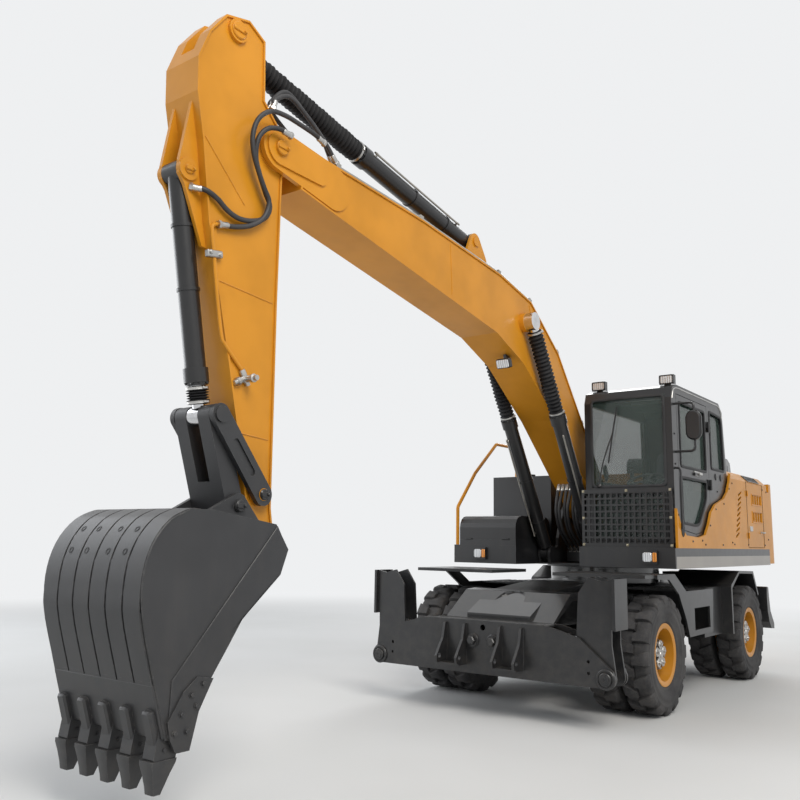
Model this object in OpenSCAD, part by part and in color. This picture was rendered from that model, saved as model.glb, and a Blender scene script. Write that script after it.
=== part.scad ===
// Wheeled excavator, about 21 tonnes, in millimetres.
// X points to the machine's left (the cab side), -Y is forward, Z is up from the ground.
// Every outline is drawn from the slewing axis, which stands slew_y behind the origin and slew_x beside it,
// because a mirror stands out on the cab side only.

/* [Wheels and axles] */
// Outer diameter of a tyre over its lugs
tyre_d = 1054; // [1000:2:1080]
// Width of one tyre
tyre_w = 270; // [240:2:290]
// Distance between the two tyres of a pair
twin_pitch = 320; // [310:2:340]
// Overall width over the tyres
tyres_over = 2494; // [2480:2:2540]
// Front axle ahead of the slewing axis
front_axle_y = 1500; // [1480:5:1520]
// Rear axle behind the slewing axis
rear_axle_y = 1280; // [1260:5:1300]
// Height of a tyre lug
lug_h = 30; // [15:1:38]
// Lugs round each side of a tyre
lug_count = 16; // [10:1:18]
// Diameter of the rim's bead seat
rim_d = 508; // [480:2:520]

/* [Undercarriage] */
// Width of the chassis box
chassis_w = 660; // [600:10:680]
// Thickness of the chassis plates
chassis_plate = 20; // [10:1:30]
// Width over the stabiliser beam
beam_w = 2300; // [2280:5:2320]
// Thickness of the stabiliser beam's front and rear plates
beam_plate = 25; // [15:1:30]
// Thickness of the fender and step plates
fender_plate = 8; // [5:1:12]
// Width over the fenders and the blade
fenders_over = 2490; // [2480:2:2500]

/* [Upper structure] */
// Width over the upper structure
upper_w = 2500; // [2480:2:2520]
// Height of the underside of the turntable deck
deck_z = 1285; // [1280:1:1300]
// Height of the deck box
deck_h = 195; // [180:5:200]
// Thickness of the body panels
panel_t = 16; // [10:1:30]
// Height of the top of the body panels above the ground
body_top = 2370; // [2340:5:2400]
// Rearmost reach of the counterweight behind the slewing axis
tail_y = 2770; // [2740:5:2800]

/* [Cab] */
// Inner side of the cab
cab_x0 = 290; // [285:1:300]
// Outer side of the cab
cab_x1 = 1215; // [1205:1:1220]
// Thickness of the cab's walls and door
cab_wall = 45; // [35:1:50]
// Thickness of the glass
glass_t = 6; // [4:1:8]
// Height of the cab's roof above the ground
roof_z = 3110; // [3090:5:3130]

/* [Boom, arm and bucket] */
// Sideways place of the boom's centre line
boom_x = -100; // [-105:1:-98]
// Width of the boom
boom_w = 400; // [390:2:404]
// Plate thickness of the boom and the arm
boom_plate = 14; // [10:1:18]
// Width of the arm
arm_w = 320; // [300:2:322]
// Width of the bucket
bucket_w = 900; // [860:10:960]
// Plate thickness of the bucket
bucket_plate = 20; // [12:1:24]
// Teeth on the bucket's lip
tooth_count = 5; // [3:1:6]
// Sideways distance from the boom's centre to a boom cylinder
boom_cyl_x = 285; // [284:1:288]
// Radius of a boom cylinder's barrel
boom_barrel_r = 72; // [60:1:74]
// Radius of the arm cylinder's barrel
arm_barrel_r = 78; // [65:1:82]
// Radius of the bucket cylinder's barrel
bucket_barrel_r = 66; // [55:1:68]

/* [Hidden] */
$fn = 48;

// Places along the machine and colours
slew_x = -119;
slew_y = 1890;
orange = [0.93, 0.55, 0.10];
charcoal = [0.16, 0.17, 0.19];
black = [0.07, 0.07, 0.08];
steel = [0.62, 0.63, 0.65];
gap = 0.3;
clear = 6;

// Wheels and axles
axle_z = tyre_d / 2;
tyre_out = tyres_over / 2 - tyre_w / 2;
tyre_in = tyre_out - twin_pitch;
twin_x = (tyre_out + tyre_in) / 2;
kingpin_x = 560;
spindle_r = 70;
hub_r = 150;
yoke_end = 78;
hub_in = kingpin_x + yoke_end + clear;
yoke_h = 110;
arm_reach = 200;

// Stabiliser beam: outer leg pins and the two pins in the middle, as [x, z]
beam_front = -2660;
beam_rear = -2395;
leg_pin = [beam_w / 2, 435];
leg_cyl_pin = [103, 640];
leg_rod_pin = [beam_w / 2 - 206, 730];
leg_in = 8;

// Rear blade linkage, as [y, z]
blade_low_pin = [1605, 640];
blade_top_pin = [1605, 900];
blade_reach = [411, 110];
blade_cyl_pin = [1600, 1090];
ear_in = 240;
ear_t = 22;
blade_arm_x = ear_in + ear_t + clear;
blade_arm_w = 48;
ear_out = blade_arm_x + blade_arm_w + clear;
ear_pin_r = 25;
blade_rod_pin = blade_low_pin + 0.58 * blade_reach;

// Upper structure
deck_top = deck_z + deck_h;
half = upper_w / 2;
cab_front = -1080;
cab_rear = 680;
channel_in = 366;
bay_front = 700;
bay_rear = tail_y - 500;
guard_y = -1160;

// Pins of the boom, the arm and the bucket in side view, as [y, z]
foot_pin = [-100, 1900];
boom_cyl_foot = [-660, 1400];
boom_cyl_eye = [-2030, 3670];
tip_pin = [-5470, 4140];
arm_cyl_foot = [-2800, 4300];
arm_cyl_eye = [-5860, 4830];
bucket_cyl_foot = [-6150, 3760];
rocker_pin = [-5490, 1780];
link_pin = [-5870, 2250];
ear_pin = [-5690, 1700];
bucket_pin = [-5420, 1370];
pin_r = 45;
barrel_len = 1650;
bucket_barrel_len = 1343;

// A length of one in the direction of a vector
function unit(v) = v / norm(v);
// The angle of a vector in its plane
function heading(v) = atan2(v.y, v.x);
// An outline run anticlockwise, moved inwards by t
function inset(p, t) = [for (i = [0 : len(p) - 1]) let (
    a = p[(i + len(p) - 1) % len(p)], b = p[i], c = p[(i + 1) % len(p)],
    u = unit(b - a), v = unit(c - b), n = [-u.y - v.y, u.x + v.x]) b + t * n / (1 + u * v)];
// Points of an arc round c from angle a to angle b
function arc(c, r, a, b, n = 6) = [for (i = [0 : n]) let (w = a + (b - a) * i / n) c + r * [cos(w), sin(w)]];

// Moves the slewing axis to its place behind the origin
module place() translate([slew_x, slew_y, 0]) children();
// A side outline of [y, z] points, drawn from x0 to x1
module side_form(x0, x1) translate([x0, 0, 0]) rotate([90, 0, 90]) linear_extrude(x1 - x0) children();
// A front outline of [x, z] points, drawn from y0 to y1
module front_form(y0, y1) translate([0, y1, 0]) rotate([90, 0, 0]) linear_extrude(y1 - y0) children();
// A plan outline of [x, y] points, drawn from z0 to z1
module plan_form(z0, z1) translate([0, 0, z0]) linear_extrude(z1 - z0) children();
// A round bar along X through the point p = [y, z]
module pin_x(x0, x1, r, p) translate([x0, p.x, p.y]) rotate([0, 90, 0]) cylinder(h = x1 - x0, r = r);
// A round bar along Y through the point p = [x, z]
module pin_y(y0, y1, r, p) translate([p.x, y1, p.y]) rotate([90, 0, 0]) cylinder(h = y1 - y0, r = r);
// A box between two corners
module block(a, b) translate(a) cube(b - a);
// A box between x0 and x1, drawn on both sides of the middle
module both_sides() {
    children();
    mirror([1, 0, 0]) children();
}
// A bar with round ends between two points of a plane
module bar(p, q, rp, rq) {
    a = heading(q - p);
    b = acos((rp - rq) / norm(q - p));
    translate(p) circle(r = rp);
    translate(q) circle(r = rq);
    polygon([p + rp * [cos(a + b), sin(a + b)], p + rp * [cos(a - b), sin(a - b)],
        q + rq * [cos(a - b), sin(a - b)], q + rq * [cos(a + b), sin(a + b)]]);
}
// Stands a shape drawn along +Z at the point p = [y, z] of plane x, pointing at q
module along(x, p, q) translate([x, p.x, p.y]) rotate([heading(q - p) - 90, 0, 0]) children();
// How far a run of points turns at its point i
function turn(p, i) = let (u = unit(p[i] - p[i - 1]), v = unit(p[i + 1] - p[i])) atan2(u.x * v.y - u.y * v.x, u * v);
// A round tube through flat points, with round bends
module tube(p, r, bend) {
    n = len(p) - 1;
    d = [for (i = [0 : n]) i == 0 || i == n ? 0 : bend * tan(abs(turn(p, i)) / 2)];
    for (i = [0 : n - 1]) let (u = unit(p[i + 1] - p[i])) translate(p[i] + u * d[i])
        rotate([0, 0, heading(u)]) rotate([0, 90, 0]) cylinder(h = norm(p[i + 1] - p[i]) - d[i] - d[i + 1], r = r);
    for (i = [1 : n - 1]) let (u = unit(p[i] - p[i - 1]), t = turn(p, i), s = sign(t), a = heading(u) - s * 90)
        translate(p[i] - u * d[i] + s * bend * [-u.y, u.x]) rotate([0, 0, s > 0 ? a : a + t])
            rotate_extrude(angle = abs(t)) translate([bend, 0]) circle(r = r);
}
// A tube whose points [y, z] lie in the side plane at x
module side_tube(x, p, r, bend) translate([x, 0, 0]) rotate([90, 0, 90]) tube(p, r, bend);
// Mirrors a left-hand shape to the side s, 1 for left and -1 for right
module side(s) mirror([s < 0 ? 1 : 0, 0, 0]) children();

// Tyres: one ring turned about the axle, with staggered lugs on both edges
tyre_r = tyre_d / 2;
bead_r = rim_d / 2 + gap;
tyre_half = tyre_w / 2;
tread_r = tyre_r - lug_h;
rim_half = tyre_half * 0.76;
bead_half = rim_half - gap;
rim_flange = 22;
flange_r = rim_d / 2 + rim_flange + gap;
tyre_profile = [[bead_r, -bead_half], [flange_r, -bead_half], [tread_r * 0.8, -tyre_half],
    [tread_r - 22, -tyre_half * 0.96], [tread_r, -tyre_half * 0.8], [tread_r, tyre_half * 0.8],
    [tread_r - 22, tyre_half * 0.96], [tread_r * 0.8, tyre_half], [flange_r, bead_half], [bead_r, bead_half]];
lug_pitch = 360 / lug_count;
lug_w = 0.3 * lug_pitch;
module tyre_ring() rotate([0, 90, 0]) {
    rotate_extrude() polygon(tyre_profile);
    for (s = [0, 1], i = [0 : lug_count - 1])
        rotate([0, 0, (i + 0.5 * s) * lug_pitch]) mirror([0, 0, s])
            rotate([90, 0, 0]) translate([0, 0, -tyre_r * sin(lug_w)]) linear_extrude(2 * tyre_r * sin(lug_w))
                polygon([[tread_r - 26, -4], [tyre_r, -4], [tyre_r, tyre_half * 0.8],
                    [tread_r + 4, tyre_half * 0.97], [tread_r - 26, tyre_half * 0.9]]);
}
module tyres(s, y) color(black) place() side(s) for (x = [tyre_in, tyre_out])
    translate([x, y, axle_z]) tyre_ring();

// Rims: two dished rims back to back on a planetary hub
rim_r = rim_d / 2;
disc_r = rim_r - 14;
dish = twin_pitch / 2;
rim_profile = [[175, dish - 34], [215, dish - 34], [disc_r - 8, dish - 60], [disc_r - 8, -rim_half - 6],
    [rim_r + rim_flange, -rim_half - 6], [rim_r + rim_flange, -rim_half], [rim_r, -rim_half], [rim_r, rim_half],
    [rim_r + rim_flange, rim_half], [rim_r + rim_flange, rim_half + 6], [disc_r, rim_half + 6], [disc_r, dish - 50],
    [218, dish - 20], [175, dish - 20]];
cover_r = 118;
module rim() rotate([0, -90, 0]) rotate_extrude() polygon([for (p = rim_profile) [p.x, -p.y]]);
module rims(s, y) color(orange) place() side(s) translate([0, y, axle_z]) {
    translate([tyre_out, 0, 0]) rim();
    translate([tyre_in, 0, 0]) mirror([1, 0, 0]) rim();
    difference() {
        union() {
            rotate([0, 90, 0]) translate([0, 0, hub_in]) cylinder(h = twin_x - hub_in + 20, r = hub_r);
            rotate([0, 90, 0]) translate([0, 0, twin_x - 21]) cylinder(h = 42, r = 180);
            rotate([0, 90, 0]) translate([0, 0, twin_x]) cylinder(h = 165, r = cover_r);
            rotate([0, 90, 0]) translate([0, 0, twin_x + 160]) cylinder(h = 22, r = 48);
            for (i = [0 : 4]) rotate([i * 72, 0, 0]) translate([twin_x, 0, 92])
                rotate([0, 90, 0]) cylinder(h = 178, r = 34);
        }
        rotate([0, 90, 0]) translate([0, 0, hub_in - 1]) cylinder(h = 220, r = spindle_r + gap);
    }
}

// Axle ends: fork, knuckle with its spindle and steering arm
module yoke() {
    for (z = [yoke_h + gap, -yoke_h - 38]) translate([0, 0, z]) plan_form(0, 38 - gap)
        bar([kingpin_x, 0], [400, 0], yoke_end, 95);
    plan_form(-yoke_h - 38, yoke_h + 38) difference() {
        translate([330, -95]) square([95, 190]);
        translate([kingpin_x, 0]) circle(r = 135);
    }
}
module knuckle(s) color(charcoal) place() side(s) translate([0, -front_axle_y, axle_z]) {
    translate([kingpin_x, 0, -yoke_h]) cylinder(h = 2 * yoke_h, r = 76);
    rotate([0, 90, 0]) translate([0, 0, kingpin_x]) cylinder(h = hub_in - gap - kingpin_x, r = 105);
    rotate([0, 90, 0]) translate([0, 0, kingpin_x]) cylinder(h = 280, r = spindle_r);
    plan_form(-20, 10) bar([kingpin_x, -20], [kingpin_x - 30, -arm_reach], 55, 34);
}
module axle_beam(x1, y) translate([0, y, axle_z]) {
    both_sides() front_form(-85, 85) polygon([[0, -90], [x1, -80], [x1, 80], [0, 90]]);
    pin_y(-150, 150, 195, [0, 0]);
    pin_y(-165, 190, 95, [0, 0]);
    both_sides() pin_x(x1 - 130, x1 - 20, 115, [0, 0]);
}
module front_axle() color(charcoal) place() {
    axle_beam(400, -front_axle_y);
    translate([0, -front_axle_y, axle_z]) {
        both_sides() yoke();
        block([-90, -100, 100], [90, 100, saddle_z - axle_z]);
        for (y = [-150, 108]) front_form(y, y + 42) polygon([[-70, 100], [70, 100], [60, saddle_z - axle_z - gap],
            [-60, saddle_z - axle_z - gap]]);
        difference() {
            union() {
                pin_x(-250, 250, 42, [-arm_reach, rod_h]);
                for (x = [-190, 160]) block([x, -arm_reach, 20], [x + 30, -80, 100]);
            }
            pin_x(-260, 260, steer_rod_r + gap, [-arm_reach, rod_h]);
        }
    }
}
steer_rod_r = 20;
rod_h = 64;
module steering_rod() color(steel) place() translate([0, -front_axle_y - arm_reach, axle_z]) {
    pin_x(60 - kingpin_x, kingpin_x - 60, steer_rod_r, [0, rod_h]);
    both_sides() difference() {
        translate([kingpin_x - 30, 0, 10 + gap]) cylinder(h = 90, r = 38);
        translate([kingpin_x - 30, 0, 0]) cylinder(h = 200, r = 12);
    }
}
module rear_axle() color(charcoal) place() {
    difference() {
        axle_beam(hub_in - 20, rear_axle_y);
        translate([0, rear_axle_y, axle_z]) both_sides() pin_x(hub_in - clear, 900, 200, [0, 0]);
    }
    translate([0, rear_axle_y, axle_z]) {
        both_sides() pin_x(hub_in - 60, 840, spindle_r, [0, 0]);
        both_sides() pin_x(hub_in - 40, hub_in - clear, 130, [0, 0]);
        both_sides() block([230, -85, 60], [300, 85, saddle_z - axle_z]);
    }
    gearbox_y = rear_axle_y - 225;
    translate([0, gearbox_y, 0]) {
        block([-130, -130, axle_z - 150], [130, 130, axle_z + 120]);
        pin_y(120, 200, 70, [0, axle_z]);
    }
    pin_y(-front_axle_y + 190 + gap, gearbox_y - 120, 36, [0, axle_z]);
    for (y = [-front_axle_y + 190 + gap, gearbox_y - 190]) pin_y(y, y + 70, 62, [0, axle_z]);
}

// Chassis: a box frame with arches over the axles, a nose and the slewing ring
saddle_z = axle_z + 210;
nose_z = 1050;
frame_low = 580;
frame_top = 1130;
frame_rear = 1545;
chassis_side = [[beam_rear, 480], [-front_axle_y - 330, 480], [-front_axle_y - 250, saddle_z],
    [-front_axle_y + 250, saddle_z], [-front_axle_y + 340, frame_low], [rear_axle_y - 500, frame_low],
    [rear_axle_y - 330, saddle_z], [rear_axle_y + 200, saddle_z], [frame_rear, frame_low],
    [frame_rear, frame_top - 130], [1150, frame_top], [-1100, frame_top], [-2000, nose_z], [beam_rear, 860]];
module chassis() color(charcoal) place() {
    cw = chassis_w / 2;
    difference() {
        union() {
            side_form(-cw, cw) polygon(chassis_side);
            cylinder_ring();
            nose();
        }
        side_form(-cw + chassis_plate, cw - chassis_plate) polygon(inset(chassis_side, chassis_plate));
    }
    both_sides() for (y = [-560, 760]) block([cw, y, 760], [560, y + 200, 900]);
    both_sides() {
        for (x = [ear_in, ear_out]) side_form(x, x + ear_t) polygon([[frame_rear - 40, frame_low + 10],
            blade_low_pin + [30, -50], blade_low_pin + [52, 0], blade_top_pin + [52, 0], blade_top_pin + [30, 50],
            [frame_rear - 40, 990]]);
        for (p = [blade_low_pin, blade_top_pin]) pin_x(ear_in - 4, ear_out + ear_t + 4, ear_pin_r, p);
        difference() {
            side_form(52, 74) bar([frame_rear - 20, 1000], blade_cyl_pin, 60, 45);
            pin_x(40, 100, 20 + gap, blade_cyl_pin);
        }
    }
}
// Seat of the slewing ring
module cylinder_ring() {
    translate([0, 0, frame_top - 30]) cylinder(h = deck_z - 25 - gap - frame_top + 30, r = 600);
}
// Sloping plates from the nose down to the stabiliser beam, with a round-cornered opening
module nose() {
    difference() {
        side_form(-560, 560) polygon([[beam_rear, 815], [beam_rear, 790], [-2010, 990], [-1900, 990],
            [-1900, nose_z + 10], [-2050, nose_z]]);
        plan_form(700, 1200) bar([-30, -2330], [-10, -2170], 120, 150);
    }
}

// Stabiliser beam: two plates on edge with the legs between their ends
beam_outline = [[-beam_w / 2 - 20, 360], [beam_w / 2 + 20, 360], [beam_w / 2 + 78, 435], [beam_w / 2 + 60, 500],
    [920, 740], [640, 815], [-640, 815], [-920, 740], [-beam_w / 2 - 60, 500], [-beam_w / 2 - 78, 435]];
module stabiliser_beam() color(charcoal) place() {
    difference() {
        union() {
            front_form(beam_front, beam_front + beam_plate) polygon(beam_outline);
            front_form(beam_rear - beam_plate, beam_rear) polygon(beam_outline);
            both_sides() for (y = [beam_front, beam_rear - beam_plate])
                pin_y(y, y + beam_plate, 78, leg_pin);
        }
        for (x = [-1000, 1000], z = [470, 560]) pin_y(beam_front - 1, beam_front + 60, 14, [x, z]);
        pin_y(beam_front - 1, beam_front + 60, 26, [0, 760]);
    }
    block([-700, beam_front + beam_plate, 375], [700, beam_rear - beam_plate, 395]);
    block([-600, beam_front + beam_plate, 795], [600, beam_rear - beam_plate, 812]);
    for (x = [-330, 310]) block([x, beam_front + beam_plate, 395], [x + 20, beam_rear - beam_plate, 480]);
    both_sides() {
        pin_y(beam_front - 28, beam_front + beam_plate + leg_in + 22, 50, leg_pin);
        pin_y(beam_rear - beam_plate - leg_in - 22, beam_rear + 20, 50, leg_pin);
        pin_y(beam_front - 34, beam_rear, 34, leg_cyl_pin);
        pin_y(beam_front - 22, beam_front, 52, leg_cyl_pin);
    }
    both_sides() towing_bracket();
}
// Towing bracket on the front of the beam: two triangular plates with a bore for the pin
tow_x = [170, 404];
tow_pin = [beam_front - 120, 500];
tow_r = 22;
module towing_bracket() difference() {
    union() {
        for (x = [tow_x[0], tow_x[1] - 24]) side_form(x, x + 24) polygon([[beam_front, 790], [beam_front - 30, 780],
            [beam_front - 60, 650], tow_pin + [-48, 0], tow_pin + [-40, -56], [beam_front, 444]]);
        block([tow_x[0], beam_front - 130, 430], [tow_x[1], beam_front, 446]);
    }
    pin_x(tow_x[0] - 1, tow_x[1] + 1, tow_r, tow_pin);
}
// Folded outrigger leg with its foot box, left-hand
module leg(s) color(charcoal) place() side(s) {
    y0 = beam_front + beam_plate + leg_in;
    y1 = beam_rear - beam_plate - leg_in;
    difference() {
        union() {
            for (y = [y0, y1 - 20]) front_form(y, y + 20) polygon(leg_outline);
            for (y = [y0, y1 - 20]) pin_y(y, y + 20, 74, leg_pin);
            block([1120, y0, 820], [1145, y1, 1180]);
            block([1215, y0 - 30, 815], [1240, y1 + 30, 1225]);
            block([1120, y0, 1160], [1240, y1, 1180]);
            for (y = [y0, y1 - 20]) front_form(y, y + 20) polygon([[1100, 840], [1216, 815], [1216, 1225], [1100, 1200]]);
        }
        pin_y(y0 - 50, y1 + 50, 50 + gap, leg_pin);
    }
    pin_y(y0 + 10, leg_mid_y - 40 - gap, 42, leg_rod_pin);
    pin_y(leg_mid_y + 40 + gap, y1 - 10, 42, leg_rod_pin);
}
leg_outline = [leg_pin + [-74, 0], leg_pin + [74, 0], [1190, 700], [1200, 1180], [1000, 1235], [905, 1100],
    leg_rod_pin + [-60, 20], leg_rod_pin + [-30, -52]];
leg_mid_y = (beam_front + beam_rear) / 2;
// The leg's cylinder lies in the beam, between the plates
module in_leg_plane(s) place() side(s) translate([leg_cyl_pin.x, leg_mid_y, leg_cyl_pin.y])
    rotate([0, 90 - heading(leg_rod_pin - leg_cyl_pin), 0]) children();
leg_len = norm(leg_rod_pin - leg_cyl_pin);
module leg_barrel(s) color(black) in_leg_plane(s) difference() {
    union() {
        translate([0, 0, 40]) cylinder(h = leg_len - 190, r = 48);
        rotate([90, 0, 0]) translate([0, 0, -40]) cylinder(h = 80, r = 52);
    }
    rotate([90, 0, 0]) translate([0, 0, -60]) cylinder(h = 120, r = 34 + gap);
    translate([0, 0, 70]) cylinder(h = leg_len, r = 25 + gap);
}
module leg_rod(s) color(steel) in_leg_plane(s) {
    translate([0, 0, 80]) cylinder(h = leg_len - 120, r = 25);
    difference() {
        translate([0, 0, leg_len]) rotate([90, 0, 0]) translate([0, 0, -40]) cylinder(h = 80, r = 48);
        translate([0, 0, leg_len]) rotate([90, 0, 0]) translate([0, 0, -60]) cylinder(h = 120, r = 20);
    }
}

// Fenders, steps and side boxes
fo = fenders_over / 2;
fender_z = 1240;
module fenders() color(charcoal) place() both_sides() {
    t = fender_plate;
    block([330, -1950, fender_z - 30], [fo - 20, -1250, fender_z]);
    difference() {
        side_form(fo - 20, fo) polygon([[-1700, fender_z], [-1700, fender_z - 40], [-1400, fender_z - 50],
            [-1150, 1050], [-960, 800], [-880, 635], [-160, 640], [-110, 1070], [-940, 1070], [-1250, fender_z]]);
        block([fo - 30, -720, 690], [fo + 10, -240, 900]);
    }
    block([500, -660, 1050], [fo - 20, -110, 1070]);
    block([500, -125, 640], [fo - 20, -110, 1050]);
    block([820, -660, 640], [fo - 20, -110, 655]);
    block([330, -600, 900], [560, 600, 1000]);
    block([560, -60, 560], [fo - 120, 560, 1065]);
    side_form(560, fo - 5) polygon([[560, 1065], [560, 560], [600, 560], [600, 1050], [900, 1205], [1450, 1190],
        [1640, 930], [1670, 945], [1480, 1220], [890, 1232], [580, 1090]]);
    block([330, 950, 1100], [560, 1300, 1200]);
}

// Rear blade on a parallel linkage
module blade() color(charcoal) place() {
    bo = fo - 5;
    pin_a = blade_low_pin + blade_reach;
    pin_b = blade_top_pin + blade_reach;
    side_form(-bo, bo) polygon([[2090, 1020], [2065, 1010], [2050, 880], [2060, 720], [2120, 590], [2200, 510],
        [2320, 500], [2330, 525], [2215, 545], [2145, 610], [2085, 730], [2078, 880]]);
    for (x = [-bo, bo - 20]) side_form(x, x + 20) polygon([[2090, 1020], [2050, 880], [2060, 720], [2120, 590],
        [2200, 510], [2330, 500], [2340, 560], [2190, 720], [2150, 900], [2140, 1010]]);
    difference() {
        both_sides() for (x = [ear_in, ear_out]) side_form(x, x + ear_t) {
            bar(pin_a, pin_a + [70, -20], 50, 60);
            bar(pin_b, pin_b + [60, -60], 46, 60);
        }
        both_sides() for (p = [pin_a, pin_b]) pin_x(ear_in - 20, ear_out + ear_t + 20, ear_pin_r + gap, p);
    }
}
module swing_arm(w, q, r) difference() {
    side_form(blade_arm_x, blade_arm_x + w) bar(q, q + blade_reach, r, 36);
    pin_x(blade_arm_x - 1, blade_arm_x + w + 1, ear_pin_r + gap, q);
}
module blade_arms() color(charcoal) place() {
    both_sides() {
        swing_arm(blade_arm_w, blade_low_pin, 48);
        pin_x(ear_in - 4, ear_out + ear_t + 4, ear_pin_r, blade_low_pin + blade_reach);
        side_form(58, 80) bar(blade_rod_pin, blade_rod_pin + [0, -70], 34, 30);
    }
    side_form(-blade_arm_x - 1, blade_arm_x + 1) bar(blade_rod_pin + [-10, -70], blade_rod_pin + [20, -66], 24, 24);
}
module blade_links() color(charcoal) place() both_sides() {
    swing_arm(30, blade_top_pin, 36);
    pin_x(ear_in - 4, ear_out + ear_t + 4, ear_pin_r, blade_top_pin + blade_reach);
}
blade_rod_r = 24;
module blade_barrel() color(black) place() difference() {
    union() {
        along(0, blade_cyl_pin, blade_rod_pin) translate([0, 0, 20]) cylinder(h = 330, r = 42);
        pin_x(-46, 46, 40, blade_cyl_pin);
        pin_x(-76, 76, 20, blade_cyl_pin);
    }
    along(0, blade_cyl_pin, blade_rod_pin) translate([0, 0, 42]) cylinder(h = 400, r = blade_rod_r + gap);
}
module blade_rod() color(steel) place() {
    len = norm(blade_rod_pin - blade_cyl_pin);
    along(0, blade_cyl_pin, blade_rod_pin) translate([0, 0, 46]) cylinder(h = len - 76, r = blade_rod_r);
    pin_x(-50, 50, 38, blade_rod_pin);
}

// Turntable deck: a hollow box with a channel for the boom, and the boom's side plates
deck_plan = [[boom_x + channel_in, -1220], [half, -1220], [half, bay_rear], [-half, bay_rear], [-half, -1220],
    [boom_x - channel_in, -1220], [boom_x - channel_in, 620], [boom_x + channel_in, 620]];
cyl_boss_r = 84;
boom_bracket = concat([[500, deck_z + 10], [300, 1600], [90, 2030], [-20, 2090], [-190, 2080], [-400, 1880],
    [-530, 1570], [-540, 1490]], arc(boom_cyl_foot, cyl_boss_r, 45, 195), [boom_cyl_foot + [-70, deck_z + 10 - 1400]]);
outer_ear = concat([boom_cyl_foot + [110, deck_z + 10 - 1400]], arc(boom_cyl_foot, cyl_boss_r, 0, 195),
    [boom_cyl_foot + [-70, deck_z + 10 - 1400]]);
module deck() color(charcoal) place() {
    difference() {
        plan_form(deck_z, deck_top) polygon(deck_plan);
        plan_form(deck_z + 15, deck_top - 15) polygon(inset(deck_plan, 15));
    }
    block([boom_x - channel_in, -760, deck_z], [boom_x + channel_in, 620, deck_z + 15]);
    translate([0, 0, deck_z - 25]) cylinder(h = 26, r = 640);
    bw = boom_w / 2 + clear;
    for (s = [-1, 1]) translate([boom_x, 0, 0]) side(s) {
        side_form(bw, bw + 34) polygon(boom_bracket);
        pin_x(bw, bw + 60, 130, foot_pin);
        side_form(eye_out, eye_out + 22) polygon(outer_ear);
        pin_x(bw, eye_out + 28, 50, boom_cyl_foot);
    }
    pin_x(boom_x - bw - 80, boom_x + bw + 80, 60, foot_pin);
}

// Outer face of a boom cylinder's eye, from the boom's middle
boom_eye_w = 76;
eye_out = boom_cyl_x + boom_eye_w / 2 + clear;

// Counterweight: a solid casting with rounded rear corners
cw_r = 330;
cw_plan = concat([[half, bay_rear + gap]], arc([half - cw_r, tail_y - cw_r], cw_r, 0, 90),
    arc([-half + cw_r, tail_y - cw_r], cw_r, 90, 180), [[-half, bay_rear + gap]]);
cw_top = body_top - 60;
lift_pin = [tail_y - 210, cw_top + 42];
lift_r = 26;
lift_x = 700;
module counterweight() color(orange) place() {
    difference() {
        plan_form(deck_z + 15, cw_top) polygon(cw_plan);
        block([-half - 10, tail_y - 600, cw_top - 110], [half + 10, tail_y - 400, cw_top + 1]);
        block([-lift_x, tail_y - 60, 2140], [lift_x, tail_y + 10, 2200]);
    }
    both_sides() difference() {
        side_form(lift_x - 20, lift_x + 20) bar(lift_pin - [0, 60], lift_pin, 90, 56);
        pin_x(lift_x - 30, lift_x + 30, lift_r, lift_pin);
    }
}

// Body panels round the engine bay, with louvres and grilles
swoop = [[-1130, deck_top + gap], [-1130, 1860], [-1030, 1720], [-880, 1605], [-500, 1590], [-280, 1620], [-150, 1740],
    [-60, 1860], [100, 1950], [420, 2030], [560, 2110], [660, 2240], [700, body_top - 40], [700, deck_top + gap]];
door_y0 = 1330;
door_y1 = 2020;
shoulder = 96;
slot_count = 9;
body_front = [[-half, deck_top], [half, deck_top], [half, body_top - shoulder], [half - shoulder, body_top],
    [-half, body_top]];
leaf_r = 8;
module bodywork() color(orange) place() {
    difference() {
        side_form(half - 25, half) polygon(swoop);
        pin_x(half - 30, half + 5, 46, [-960, 1700]);
        pin_x(half - 30, half + 5, 46, [-960, 1640]);
    }
    difference() {
        front_form(bay_front, bay_rear) polygon(body_front);
        front_form(bay_front + panel_t, bay_rear - panel_t) polygon(inset(body_front, panel_t));
        block([-half + panel_t, bay_front + panel_t, deck_top - 1], [half - panel_t, bay_rear - panel_t, deck_top + 100]);
        block([half - panel_t - 1, door_y0 - clear, 1500 - clear], [half + 1, door_y1 + clear, 2270 + clear]);
        block([hood_x0 - clear, hood_y0 - clear, body_top - panel_t - 1], [hood_x1 + clear, hood_y1 + clear, body_top + 1]);
        for (i = [0 : slot_count - 1]) translate([half - panel_t - 1, bay_front + 120 + 20 * i, 1600 + 60 * i])
            rotate([20, 0, 0]) cube([panel_t + 2, 150, 26]);
        for (i = [0 : 4]) block([-half - 1, 900 + 150 * i, 1650], [-half + panel_t + 1, 1000 + 150 * i, 2150]);
    }
}
module side_door() color(orange) place() {
    difference() {
        block([half - panel_t, door_y0, 1500], [half, door_y1, 2270]);
        for (z = [1810, 2020], i = [0 : 3])
            block([half - panel_t - 1, 1560 + 105 * i, z], [half + 1, 1640 + 105 * i, z + 110]);
    }
    for (z = [1600, 2100]) {
        translate([half + 10, door_y0 - clear, z]) cylinder(h = 70, r = leaf_r);
        block([half - 1, door_y0 + 4, z], [half + 5, door_y0 + 60, z + 70]);
        block([half + 2, door_y0 - clear, z], [half + 8, door_y0 + 5, z + 70]);
    }
}
hood_x0 = -250;
hood_x1 = 900;
hood_y0 = 1250;
hood_y1 = 2150;
hood_lap = 25;
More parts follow.
